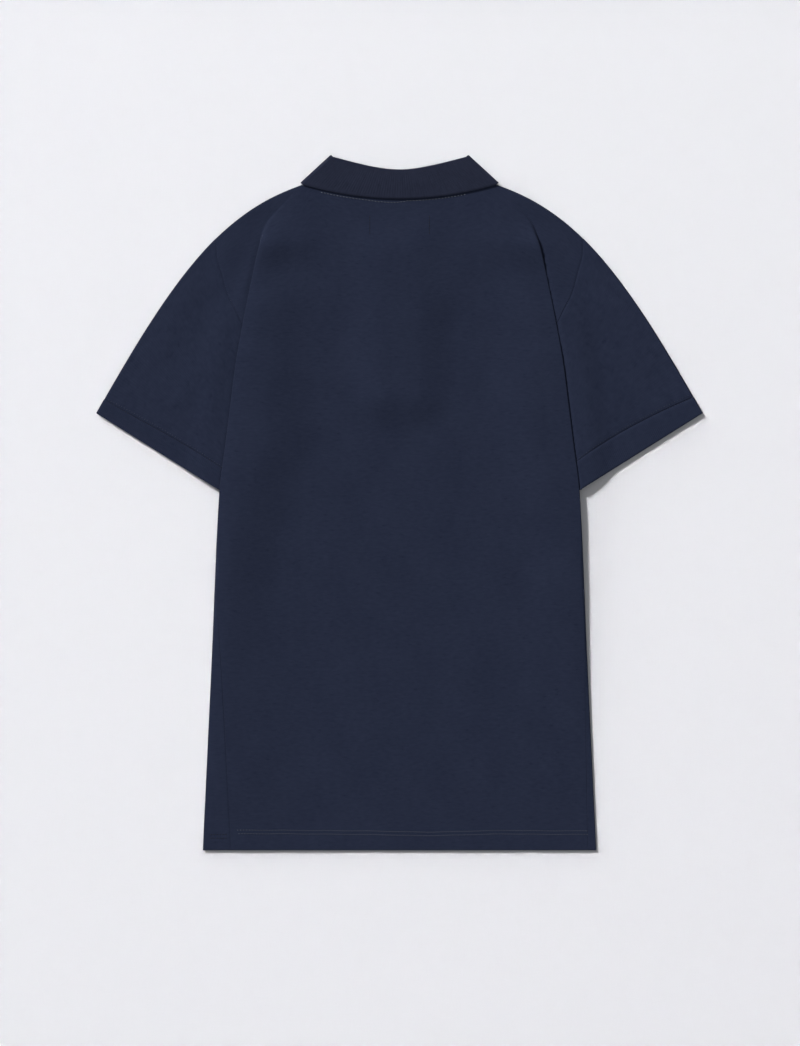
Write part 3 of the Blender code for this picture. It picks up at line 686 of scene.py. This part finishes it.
def frontSide(up, side):
    # past its flat part the front turns up round the side, then runs back over the edge: on to the
    # back as far as the side seam below, and into the tuck above
    bendPart, tuckPart = passedShares(panel["frontSteps"])
    edge = through(edgeLine, "out", up)
    seam = through(armholeLine, "out", up) - cloth["frontSeam"]
    low, upper = up <= outline["seamStart"], up >= outline["crossing"]
    at = np.clip(up, outline["seamStart"], outline["crossing"])
    floor = frontHeight(edge, up)
    radius = (backHeight(edge, up) - floor) / 2
    bend = np.where(low, radius, through(tuckLine, "bend", at))
    depth = np.minimum(through(tuckLine, "depth", at), np.maximum(edge - seam, 0.0))
    reach = math.pi / 2 * radius + outline["wrap"][side] * (1 - up / outline["seamStart"]) - cloth["sideSeam"]
    turn = np.where(low, np.minimum(reach / radius, math.pi), np.radians(through(tuckLine, "turn", at)))
    angle = turn * bendPart
    past = np.where(low, np.maximum(reach - math.pi * radius, 0), depth) * tuckPart
    out = edge - bend + bend * np.sin(angle) - past
    bent = floor + bend * (1 - np.cos(turn))
    onBack = backHeight(out, up) - backHeight(edge, up)
    sewn = (through(tuckLine, "front", at) - bent) * tuckPart
    high = floor + bend * (1 - np.cos(angle)) + np.where(tuckPart > 0, np.where(low, onBack, sewn), 0)
    share = np.linspace(0, 1, len(bendPart))
    flatOut = edge - 2.0 + (seam - edge + 2.0) * share
    flatHigh = floor + (sleeveHeight(seam, up, 0.0) - floor) * ease(share)
    return np.where(upper, flatOut, out), np.where(upper, flatHigh, high)


def halfPanel(sideColumns, topLine, height, side):
    # columns from the centre line to the side, then the side's own; the rows bend up to the top line
    rows = panelRows()[:, None]
    curved = ease((rows - outline["crossing"]) / (shoulderUp - outline["crossing"]))
    up = rows
    for _ in range(10):
        sideOut, sideHigh = sideColumns(up, side)
        up = rows + (topLine(sideOut) - shoulderUp) * curved
    slot = placket["width"] / 2 + cloth["frontSeam"]
    near = 6
    inner = np.linspace(0, 1, panel["inner"] - near + 1)[:-1]
    innerOut = np.hstack([np.broadcast_to(slot * np.linspace(0, 1, near + 1)[:-1], (len(rows), near)),
                          slot + (sideOut[:, :1] - slot) * inner])
    innerUp = rows + (topLine(innerOut) - shoulderUp) * curved
    return (np.hstack([innerOut, sideOut]), np.hstack([innerUp, up]),
            np.hstack([height(innerOut, innerUp), sideHigh]), near)


def wholePanel(sideColumns, topLine, height):
    # both halves side by side, from the left edge to the right
    left = halfPanel(sideColumns, topLine, height, -1)
    right = halfPanel(sideColumns, topLine, height, 1)
    out, up, high = (np.hstack([sign * l[:, :0:-1], r])
                     for l, r, sign in zip(left[:3], right[:3], (-1, 1, 1)))
    return np.stack([out, up, high], -1), left[3]


def sideCells(points, sideCount, allowed):
    # which cells are kept: every flat one, and as many of the side's as each row has
    rows, columns = points.shape[0] - 1, points.shape[1] - 1
    fromEdge = np.minimum(np.arange(columns), columns - 1 - np.arange(columns))
    sideIndex = sideCount - 1 - fromEdge
    return (sideIndex[None, :] < allowed[:rows, None]) | (fromEdge[None, :] >= sideCount)


rowUp = panelRows()
backPoints, nearSlot = wholePanel(backSide, backTop, backHeight)
bendSteps, tuckSteps = panel["backSteps"][:2]
allowed = np.where(rowUp <= outline["seamStart"], bendSteps,
                   np.where(rowUp < outline["pleatStart"], bendSteps + tuckSteps, sum(panel["backSteps"])))
backKeep = sideCells(backPoints, sum(panel["backSteps"]), allowed)
backPoints[..., 2] += backExtra(backPoints[..., 0], backPoints[..., 1])
backPoints[..., 2] += overShoulder(backPoints[..., 0], backPoints[..., 1])
back = makeSheet("backPanel", backPoints, jersey, cloth["jersey"], keep=backKeep)

frontPoints, nearSlot = wholePanel(frontSide, frontTop, frontHeight)
frontCount = sum(panel["frontSteps"])
reachesTop = rowUp < 262.0
allowed = np.where((rowUp <= outline["seamStart"]) & ~reachesTop, panel["frontSteps"][0], frontCount)
frontKeep = sideCells(frontPoints, frontCount, allowed)
centre = (frontPoints.shape[1] - 1) // 2
slotRow = int(np.argmin(np.abs(rowUp - placket["lowerEnd"])))
frontKeep[slotRow:, centre - nearSlot:centre + nearSlot] = False
# what turns up on to the back shares its swells and hem, and the face below is drawn in at its stitches
x, up, high = np.moveaxis(frontPoints, -1, 0)
lowFace = frontHeight(np.abs(x), up)
onTop = np.clip((high - lowFace) / (backHeight(np.abs(x), up) - lowFace), 0, 1) * (up < outline["seamStart"])
drawnIn = hem["drawn"] * sum(hump((up - row) / 1.1) for row in hem["rows"])
frontPoints[..., 2] += onTop * backExtra(x, up) + (1 - onTop) * drawnIn
front = makeSheet("frontPanel", frontPoints, jersey, cloth["jersey"], keep=frontKeep)
print("panels made")


# the sleeves and their cuffs

sleeve = {
    "rows": 54,
    "columns": 60,
    "bendSteps": 6,
    "puff": 1.3,  # how far the upper wall stands off the lower one in the middle
    "length": 118.0,  # steps from the plain cuff to the armhole
    "seamDip": {-1: 0.03, 1: 0.12},  # how far the armhole seam is drawn in
    "seamRidge": 0.28,  # the seam allowance that lies above the cuff's join
    "pucker": 0.10,
    "puckerPitch": 7.0,
}
cuff = {"rows": 12, "ribs": 84, "stepsPerRib": 6, "ribDepth": 0.12, "groove": 0.28,
        # added to the plain depth at the shoulder and the underarm, in the sleeve's own steps from hem to
        # armhole, which are longer than a millimetre at the shoulder and shorter at the underarm
        "wider": {-1: (-1.5, 5.0), 1: (0.6, 13.8)}}


def armholeCurve(across):
    # from the shoulder down the armhole seam to the underarm
    up = shoulderUp + (outline["underarm"][1] - shoulderUp) * across
    return np.stack([through(armholeLine, "out", up) + cloth["seam"], up], -1)


def sleevePatch(across, along):
    # plan of the flattened sleeve: the surface that its four edges span, across 0 at the shoulder
    # edge and 1 at the underarm, along 0 at the armhole and 1 at the cuff
    tip, under = np.array(outline["sleeveTip"]), np.array(outline["underarm"])
    hemIn = tip - turned(outline["sleeveOpening"], outline["hemSlope"])
    rise = turned(outline["cuffDepth"], outline["hemSlope"] + 90)
    joinT = float(np.interp(tip[1] + rise[1], curvePoints[::-1, 1], curveT[::-1]))
    joinIn = hemIn + (under - hemIn) * outline["cuffDepth"] / np.linalg.norm(under - hemIn) * 1.016
    joinOut, start = shoulderCurve(joinT), shoulderCurve(shoulderT)
    s, t = np.asarray(across, float)[..., None], np.asarray(along, float)[..., None]
    outer = shoulderCurve(shoulderT + (joinT - shoulderT) * t[..., 0])
    inner = under + (joinIn - under) * t
    hemSide = joinOut + (joinIn - joinOut) * s
    corners = (1 - s) * (1 - t) * start + s * (1 - t) * under + (1 - s) * t * joinOut + s * t * joinIn
    return (1 - t) * armholeCurve(s[..., 0]) + t * hemSide + (1 - s) * outer + s * inner - corners


def cuffDepth(across, side):
    shoulderEnd, underarmEnd = cuff["wider"][side]
    return outline["cuffDepth"] + shoulderEnd + (underarmEnd - shoulderEnd) * across


def armPlan(across, fromHem):
    # plan of the whole arm by the distance from the hem: straight down the cuff's plain depth, and
    # the sleeve's own surface above it; along is 1 on the cuff and falls to 0 at the armhole
    join = sleevePatch(across, np.ones_like(across))
    tip = np.array(outline["sleeveTip"])
    hemEdge = tip - turned(outline["sleeveOpening"], outline["hemSlope"]) * across[..., None]
    share = np.clip(fromHem / outline["cuffDepth"], 0, 1)[..., None]
    along = np.clip(1 - (fromHem - outline["cuffDepth"]) / sleeve["length"], 0, 1)
    above = sleevePatch(across, along)
    return np.where(share < 1, hemEdge + (join - hemEdge) * share, above), along


def sleeveExtra(plan, across, along, fromJoin, side):
    # what the upper wall adds: the puff, and the ridge and puckers above the cuff's join
    x, up = side * plan[..., 0], plan[..., 1]
    past = plan[..., 0] - through(edgeLine, "out", up)
    inside = ease((past - 2.0) / 25.0)
    crown = 16 * np.square(across * (1 - across))
    puff = sleeve["puff"] * crown * ease(along / 0.3) * (1 - ease((along - 0.75) / 0.25))
    ridge = sleeve["seamRidge"] * ease(fromJoin / 2.0) * (1 - ease((fromJoin - 6.0) / 6.0))
    turns = across * outline["sleeveOpening"] / sleeve["puckerPitch"]
    wave = np.sin(2 * math.pi * turns + 2.0 * np.sin(across * 9.0))
    pucker = sleeve["pucker"] * (1 + wave) * ease(fromJoin / 3.0) * (1 - ease((fromJoin - 5.0) / 14.0))
    groove = cuff["groove"] * hump(fromJoin / 1.1)
    atSeam = sleeve["seamDip"][side] * hump(along * sleeve["length"] / 1.6) * ease(past / 5.0)
    return (puff + ridge + pucker) * inside + overShoulder(x, up) - atSeam - groove


def flatTube(across, rows, first, last, side):
    # a tube pressed flat: its upper wall, a half-round bend, its lower wall and the other bend; the
    # rows run between two distances from the hem
    s, v = np.meshgrid(across, rows)
    fromHem = first(s) + (last(s) - first(s)) * v
    plan, along = armPlan(s, fromHem)
    low = sleeveHeight(plan[..., 0], plan[..., 1], along)
    layer = cloth["layer"] + (cloth["ribLayer"] - cloth["layer"]) * along
    fromJoin = fromHem - cuffDepth(s, side)
    upper = np.dstack([plan, low + layer + sleeveExtra(plan, s, along, fromJoin, side)])
    lower = np.dstack([plan, low])
    half = layer[:, :1] / 2
    angles = np.linspace(0, math.pi, sleeve["bendSteps"] + 2)[1:-1]

    def bend(column, inner, sign):
        outward = unit(plan[:, column] - plan[:, inner])
        flat = plan[:, column][:, None] - outward[:, None] * (half * (1 - np.sin(angles)))[..., None]
        middle = (upper[:, column, 2] + low[:, column])[:, None] / 2
        reach = (upper[:, column, 2] - low[:, column])[:, None] / 2
        return np.dstack([flat, middle + sign * reach * np.cos(angles)]), outward

    shoulder, shoulderWay = bend(0, 1, -1)
    under, underWay = bend(-1, -2, 1)
    for wall in (upper, lower):
        wall[:, 0, :2] -= shoulderWay * half
        wall[:, -1, :2] -= underWay * half
    return np.concatenate([upper, under, lower[:, ::-1], shoulder], axis=1)


def onSide(points, side):
    flipped = points * np.array([side, 1, 1])
    return flipped if side > 0 else flipped[:, ::-1]


def addRibs(points, phase, depth):
    # each point moves along its normal by a cosine of its rib's phase, sharper in the grooves
    wave = np.cos(2 * math.pi * phase)
    return points + surfaceNormals(points) * (depth * (wave - 0.3 * np.cos(4 * math.pi * phase)))[..., None]


sleevePieces, cuffPieces, joinRuns, darkRuns = {}, {}, [], []
for side, name in ((-1, "left"), (1, "right")):
    across = np.linspace(0, 1, sleeve["columns"])
    rows = 1 - (1 - np.linspace(0, 1, sleeve["rows"])) ** 1.25
    whole = outline["cuffDepth"] + sleeve["length"]
    tube = flatTube(across, rows, lambda a: np.full_like(a, whole),
                    lambda a: cuffDepth(a, side) + cloth["seam"], side)
    sleevePieces[name] = makeSheet(name + "Sleeve", onSide(tube, side), jersey,
                                   cloth["jersey"], closed=True)
    ribAcross = np.linspace(0, 1, cuff["ribs"] * cuff["stepsPerRib"] + 1)
    ribTube = flatTube(ribAcross, np.linspace(0, 1, cuff["rows"]),
                       lambda a: cuffDepth(a, side) - cloth["seam"], np.zeros_like, side)
    phase = np.broadcast_to(np.arange(ribTube.shape[1]) / cuff["stepsPerRib"], ribTube.shape[:2])
    ribTube = addRibs(ribTube, phase, cuff["ribDepth"])
    cuffPieces[name] = makeSheet(name + "Cuff", onSide(ribTube, side), cuffKnit,
                                 cloth["rib"], closed=True)
    # stitches beside the join: light ones just above it, and dark ones in it
    fine = np.linspace(0.015, 0.985, 90)
    for offset, target in ((1.7, joinRuns), (0.1, darkRuns)):
        fromHem = cuffDepth(fine, side) + offset
        plan, along = armPlan(fine, fromHem)
        low = sleeveHeight(plan[:, 0], plan[:, 1], along)
        layer = cloth["layer"] + (cloth["ribLayer"] - cloth["layer"]) * along
        top = low + layer + sleeveExtra(plan, fine, along, np.full_like(fine, offset), side)
        for height, normal in ((top + cloth["jersey"] / 2, 1.0), (low - cloth["jersey"] / 2, -1.0)):
            line = np.column_stack([side * plan[:, 0], plan[:, 1], height])
            spots, ways = stitchPlaces(line, 3.1)
            target.append((spots, ways, (0, 0, normal), 1.3))
print("sleeves made")


# the collar

def leafEdge(out):
    # the free edge of the leaf across the back: a shallow curve, highest at the sides
    sideFree = np.array(collar["foldPeak"]) + turned(collar["sideLeaf"], collar["sideSlope"])
    return collar["leafBack"] + (sideFree[1] - collar["leafBack"]) * (out / sideFree[0]) ** 2


def collarPoints():
    # ruled across from the neck seam over the fold to the free edge: along the back, half-way round
    # each side, and along the front underneath
    sideWay = turned(1.0, collar["sideSlope"])
    outward = np.array([-sideWay[1], sideWay[0]])
    peak = np.array(collar["foldPeak"])
    sideFree = peak + sideWay * collar["sideLeaf"]
    sideSeam = np.array(outline["neckPoint"]) + (0.0, 0.5)
    backRibs, sideRibs, frontRibs = (n * collar["stepsPerRib"] for n in collar["ribs"])
    bow = collar["foldBow"]

    t = np.linspace(0, 1, backRibs + 1)
    out = peak[0] * t
    swell = (np.sqrt(1 + (out / bow) ** 2) - 1) / (math.sqrt(1 + (peak[0] / bow) ** 2) - 1)
    backFold = np.column_stack([out, collar["foldDip"] + (peak[1] - collar["foldDip"]) * swell])
    backSeam = np.column_stack([sideSeam[0] * t, backTop(sideSeam[0] * t) + 0.5])
    backFree = np.column_stack([sideFree[0] * t, leafEdge(sideFree[0] * t)])

    roundSide = np.linspace(0, 1, sideRibs + 1)[1:-1]
    t = np.linspace(0, 1, frontRibs + 1)
    frontFold = peak + (np.array(collar["foldFront"]) - peak) * t[:, None]
    frontFold[:, 1] -= collar["frontSag"] * np.sin(math.pi * t)
    seamOut = sideSeam[0] + (placket["width"] / 2 - sideSeam[0]) * t
    frontSeam = np.column_stack([seamOut, frontTop(seamOut) + 0.5])
    frontFree = sideFree + (np.array(collar["leafPoint"]) - sideFree) * t[:, None]

    def joined(first, middle, last):
        return np.concatenate([first, np.repeat(middle[None], len(roundSide), axis=0), last])

    fold = joined(backFold, peak, frontFold)
    seam = joined(backSeam, sideSeam, frontSeam)
    free = joined(backFree, sideFree, frontFree)
    angle = np.concatenate([np.zeros(len(backFold)), math.pi * roundSide, np.full(len(frontFold), math.pi)])
    stand, leaf = collar["standRise"], collar["leafRise"]
    upWay = unit(fold - seam)
    columns = [(seam + (fold - seam) * share, np.full(len(fold), stand)) for share in np.linspace(0, 1, 7)]
    for degrees in np.linspace(0, 180, 9)[1:-1]:
        turn = math.radians(degrees)
        rise = stand + (leaf - stand) * (1 - math.cos(turn)) / 2
        columns.append((fold + upWay * math.sin(turn) * (leaf - stand) / 2, np.full(len(fold), rise)))
    for share in np.linspace(0, 1, 15):
        rise = leaf + 0.25 * math.sin(math.pi * share) * (angle == 0)
        columns.append((fold + (free - fold) * share, rise))
    points = [np.column_stack([plan + outward * (rise * np.sin(angle))[:, None],
                               collar["middle"] + rise * np.cos(angle)]) for plan, rise in columns]
    right = np.stack(points, axis=1)
    left = right[:0:-1] * np.array([-1, 1, 1])
    return np.concatenate([left, right])


collarGrid = collarPoints()
ribPhase = (np.arange(len(collarGrid)) - (len(collarGrid) - 1) / 2) / collar["stepsPerRib"]
fadeAtEdge = 1 - ease((np.arange(collarGrid.shape[1]) - (collarGrid.shape[1] - 2.5)) / 1.5)
ribPhase = np.broadcast_to(ribPhase[:, None], collarGrid.shape[:2])
collarGrid = addRibs(collarGrid, ribPhase, collar["ribDepth"] * fadeAtEdge)
collarPiece = makeSheet("ribCollar", collarGrid, ribKnit, cloth["rib"])
print("collar made")


# the placket: two bands, their stitching, the buttonholes and the buttons

def bandPoints(down, rise, width):
    # a flat band along the front's height, its wall moved up by rise
    out, up = np.meshgrid(np.linspace(-width / 2, width / 2, 17),
                          np.linspace(placket["lowerEnd"] + down, outline["frontNeck"] - 0.3, 61))
    return np.dstack([out, up, frontHeight(np.abs(out), up) + rise])


button = {"around": 48, "holeOut": 1.5, "hole": 0.7}  # sides, and each hole's place and radius
buttonhole = {"half": 7.5, "edge": 0.75, "pitch": 0.55}  # half its length, its stitches' place and pitch


def buttonProfile():
    # radius and height, from the middle of the face over its rim and round to the back
    radius = np.array([0.0, 1.2, 2.4, 2.9, 3.4, 4.2, 5.0, 5.35, 5.5, 5.4, 5.0, 3.0, 0.0])
    height = np.array([0.75, 0.75, 0.8, 1.0, 1.2, 1.2, 1.1, 0.8, 0.2, -0.5, -0.9, -1.15, -1.2])
    return radius, height


def makeButton(name, up):
    # the profile turned about its axis, face down, with four holes cut through it
    radius, height = buttonProfile()
    around = button["around"]
    middle = frontHeight(0.0, up) - 0.8 - cloth["gap"] - placket["buttonThick"] / 2
    turns = np.linspace(0, 2 * math.pi, around + 1)[:-1]
    ring = np.stack([radius[1:-1, None] * np.cos(turns), up + radius[1:-1, None] * np.sin(turns),
                     np.broadcast_to(middle - height[1:-1, None], (len(radius) - 2, around))], -1)
    poles = np.array([[0, up, middle - height[0]], [0, up, middle - height[-1]]])
    points = np.concatenate([ring.reshape(-1, 3), poles])
    r, c = (a.ravel() for a in np.meshgrid(np.arange(len(radius) - 3), np.arange(around), indexing="ij"))
    after = (c + 1) % around
    row = r * around
    quads = np.stack([row + c, row + after, row + around + after, row + around + c], -1)
    last = (len(radius) - 3) * around
    ends = [[len(points) - 2, (i + 1) % around, i] for i in range(around)]
    ends += [[len(points) - 1, last + i, last + (i + 1) % around] for i in range(around)]
    mesh = bpy.data.meshes.new(name)
    mesh.from_pydata(toMetres(points), [], quads.tolist() + ends)
    piece = addPiece(name, mesh, resin)
    cutters = []
    for quarter in range(4):
        way = turned(button["holeOut"], 45 + 90 * quarter)
        place = toMetres(np.array([way[0], up + way[1], middle]))
        bpy.ops.mesh.primitive_cylinder_add(vertices=20, radius=button["hole"] * mm, depth=8 * mm,
                                            location=place)
        cutters.append(bpy.context.object)
        cut = piece.modifiers.new(f"hole{quarter}", "BOOLEAN")
        cut.object = cutters[-1]
    shaped = bpy.data.meshes.new_from_object(piece.evaluated_get(bpy.context.evaluated_depsgraph_get()))
    piece.modifiers.clear()
    piece.data = shaped
    for cutter in cutters:
        bpy.data.objects.remove(cutter, do_unlink=True)
    return piece, middle - height[0]


upperBand = makeSheet("upperBand", bandPoints(0.3, 0.0, placket["width"]), jersey, cloth["rib"])
lowerBand = makeSheet("lowerBand", bandPoints(4.0, cloth["ribLayer"], placket["width"]), jersey,
                      cloth["rib"])

# how long a stitch is, by its place
stitchLong = {"band": 2.1, "hole": 1.3, "button": 2.6, "hem": 1.1, "hemShade": 1.3, "side": 1.9, "low": 1.9,
              "neck": 1.9, "neckShade": 1.2, "tack": 2.0}

placketRuns, buttonRuns = [], []
bandUp = np.linspace(placket["lowerEnd"] + 3.0, outline["frontNeck"] - 1.5, 60)
under = cloth["rib"] / 2
for out in (-1, 1):
    x = out * (placket["width"] / 2 - placket["stitchInset"])
    line = np.column_stack([np.full_like(bandUp, x), bandUp, frontHeight(abs(x), bandUp) - under])
    spots, ways = stitchPlaces(line, placket["stitchPitch"])
    placketRuns.append((spots, ways, (0, 0, -1), stitchLong["band"]))
for up in (placket["lowerEnd"] + 3.0, placket["lowerEnd"] + 15.0):
    x = np.linspace(-13.2, 13.2, 20)
    line = np.column_stack([x, np.full_like(x, up), frontHeight(np.abs(x), up) - under])
    spots, ways = stitchPlaces(line, placket["stitchPitch"])
    placketRuns.append((spots, ways, (0, 0, -1), stitchLong["band"]))
buttons = []
for number, up in enumerate(placket["buttonUp"], start=1):
    # the buttonhole's edges: close short stitches on both sides of a slit
    slit = np.linspace(up - buttonhole["half"], up + buttonhole["half"], 20)
    for shift in (-buttonhole["edge"], buttonhole["edge"]):
        line = np.column_stack([np.full(20, shift), slit, frontHeight(abs(shift), slit) - under])
        spots, _ = stitchPlaces(line, buttonhole["pitch"])
        crossways = np.tile([1.0, 0, 0], (len(spots), 1))
        placketRuns.append((spots, crossways, (0, 0, -1), stitchLong["hole"]))
    piece, face = makeButton(f"button{number}", up)
    buttons.append(piece)
    for shift in (-1, 1):
        spots = np.array([[0.0, up + shift * 1.06, face]])
        buttonRuns += [(spots + [0, k * 0.25, 0], np.array([[1.0, 0, 0]]), (0, 0, -1), stitchLong["button"])
                       for k in (-1, 1)]
print("placket made")


# stitches that lie on the panels

neckStitch = {"pitch": 3.4, "below": 2.3, "dip": 1.8, "from": -84.0, "to": 70.0}
labelTacks = {"out": 31.5, "from": 652.0, "to": 673.0, "pitch": 2.9}


def onBack(x, up):
    # points on the back's upper face
    high = backHeight(np.abs(x), up) + backExtra(x, up) + overShoulder(x, up) + cloth["jersey"] / 2
    return np.column_stack([x, up, high])


hemRuns = []
for row, shift in zip(hem["rows"], (0.5, 1.0)):
    x = np.linspace(-173.0, 199.0, 300)
    line = onBack(x, row + hemWander(x))
    hemRuns.append(stitchPlaces(line, hem["pitch"], shift) + ((0, 0, 1), stitchLong["hem"]))
    between = stitchPlaces(line, hem["pitch"], shift + 0.5)
    darkRuns.append(between + ((0, 0, 1), stitchLong["hemShade"]))
    x = np.linspace(-201.0, -181.0, 12)
    wrapped = stitchPlaces(onBack(x, np.full_like(x, row - hem["leftDrop"])), hem["pitch"])
    darkRuns.append(wrapped + ((0, 0, 1), stitchLong["side"]))
    x = np.linspace(-204.0, 204.0, 300)
    level = np.full_like(x, row)
    line = np.column_stack([x, level, frontHeight(np.abs(x), level) - cloth["jersey"] / 2 + hem["drawn"]])
    hemRuns.append(stitchPlaces(line, hem["pitch"]) + ((0, 0, -1), stitchLong["low"]))
x = np.linspace(neckStitch["from"], neckStitch["to"], 160)
below = neckStitch["below"] + neckStitch["dip"] * hump((x + 10.0) / 16.0) * (x < 6) + 0.6 * (x < -20)
line = onBack(x, leafEdge(np.abs(x)) - below)
hemRuns.append(stitchPlaces(line, neckStitch["pitch"]) + ((0, 0, 1), stitchLong["neck"]))
darkRuns.append(stitchPlaces(line, neckStitch["pitch"], 1.0) + ((0, 0, 1), stitchLong["neckShade"]))
for x in (-labelTacks["out"], labelTacks["out"]):
    up = np.linspace(labelTacks["from"], labelTacks["to"], 20)
    tack = stitchPlaces(onBack(np.full_like(up, x), up), labelTacks["pitch"])
    darkRuns.append(tack + ((0, 0, 1), stitchLong["tack"]))
hemStitches = makeStitches("hemAndNeckStitches", hemRuns, thread, 0.36)
cuffStitches = makeStitches("cuffStitches", joinRuns, cuffThread, 0.16)
shadedStitches = makeStitches("shadedStitches", darkRuns, darkThread, 0.36)
placketStitches = makeStitches("placketStitches", placketRuns, thread, 0.16)
buttonThread = makeStitches("buttonThread", buttonRuns, thread, 0.22)
print("stitches made")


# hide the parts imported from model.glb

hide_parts("back_panel")
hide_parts("front_panel")
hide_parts("collar")
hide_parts("placket_upper")
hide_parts("placket_lower")
for name in ("left", "right"):
    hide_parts("sleeve_" + name)
    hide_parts("cuff_" + name)
for number, piece in enumerate(buttons, start=1):
    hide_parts(f"button_{number}")


# the floor, the light and the camera

studio = {
    "floorSize": 16.0,
    "camera": (0.0005, -0.0216, 4.0),
    "lens": 129.9,
    "keyFrom": (-12.0, 13.2, 12.6),
    "keySize": 3.6,
    "keyPower": 4450.0,
    "lowSun": (-0.62, 0.78, 0.16),  # the direction of a low light that reaches only the floor
    "lowSunWidth": 10.0,
    "lowSunStrength": 3.4,
    "fillFrom": (4.0, -4.0, 10.0),
    "fillSize": 6.0,
    "fillPower": 50.0,
    "world": 0.39,
}


def makeFloor():
    bpy.ops.mesh.primitive_plane_add(size=studio["floorSize"], location=(0, 0, -0.0003))
    floor = bpy.context.object
    floor.name = "floor"
    material, shader = plainShader("pale paper", finish["floor"], 0.9)
    tree = material.node_tree
    place = tree.nodes.new("ShaderNodeTexCoord")
    grain = stretchedNoise(tree, place.outputs["Object"], (1.0, 1.0, 1.0), 60.0, 2.0)
    paler, deeper = finish["floor"], tuple(0.985 * c for c in finish["floor"][:3]) + (1.0,)
    mixColour(tree, grain, paler, deeper, shader.inputs["Base Color"])
    floor.data.materials.append(material)
    return floor


def facingCentre(place):
    # tip a lamp away from straight down, then turn it to shine from that place to the centre
    x, y, z = place
    return [0.0, math.atan2(math.hypot(x, y), z), math.atan2(y, x)]


def makeLight(name, place, size, power):
    lamp = bpy.data.lights.new(name, "AREA")
    lamp.size = size
    lamp.energy = power
    made = bpy.data.objects.new(name, lamp)
    made.location = place
    made.rotation_euler = facingCentre(place)
    bpy.context.scene.collection.objects.link(made)


def makeLowSun(onlyOn):
    # the long soft shadow on the floor, without raking light on the cloth
    lamp = bpy.data.lights.new("lowSun", "SUN")
    lamp.energy = studio["lowSunStrength"]
    lamp.angle = math.radians(studio["lowSunWidth"])
    made = bpy.data.objects.new("lowSun", lamp)
    made.rotation_euler = facingCentre(studio["lowSun"])
    bpy.context.scene.collection.objects.link(made)
    reached = bpy.data.collections.new("lowSunReaches")
    reached.objects.link(onlyOn)
    made.light_linking.receiver_collection = reached


makeLowSun(makeFloor())
makeLight("key", studio["keyFrom"], studio["keySize"], studio["keyPower"])
makeLight("fill", studio["fillFrom"], studio["fillSize"], studio["fillPower"])
world = bpy.data.worlds.new("studio")
world.use_nodes = True
world.node_tree.nodes["Background"].inputs["Color"].default_value = (0.97, 0.98, 1.0, 1.0)
world.node_tree.nodes["Background"].inputs["Strength"].default_value = studio["world"]
bpy.context.scene.world = world
bpy.context.scene.view_settings.view_transform = "Standard"
view = bpy.data.cameras.new("camera")
view.lens = studio["lens"]
view.clip_end = 50.0
camera = bpy.data.objects.new("camera", view)
camera.location = studio["camera"]
bpy.context.scene.collection.objects.link(camera)
bpy.context.scene.camera = camera
print("studio made")

bpy.context.view_layer.update()
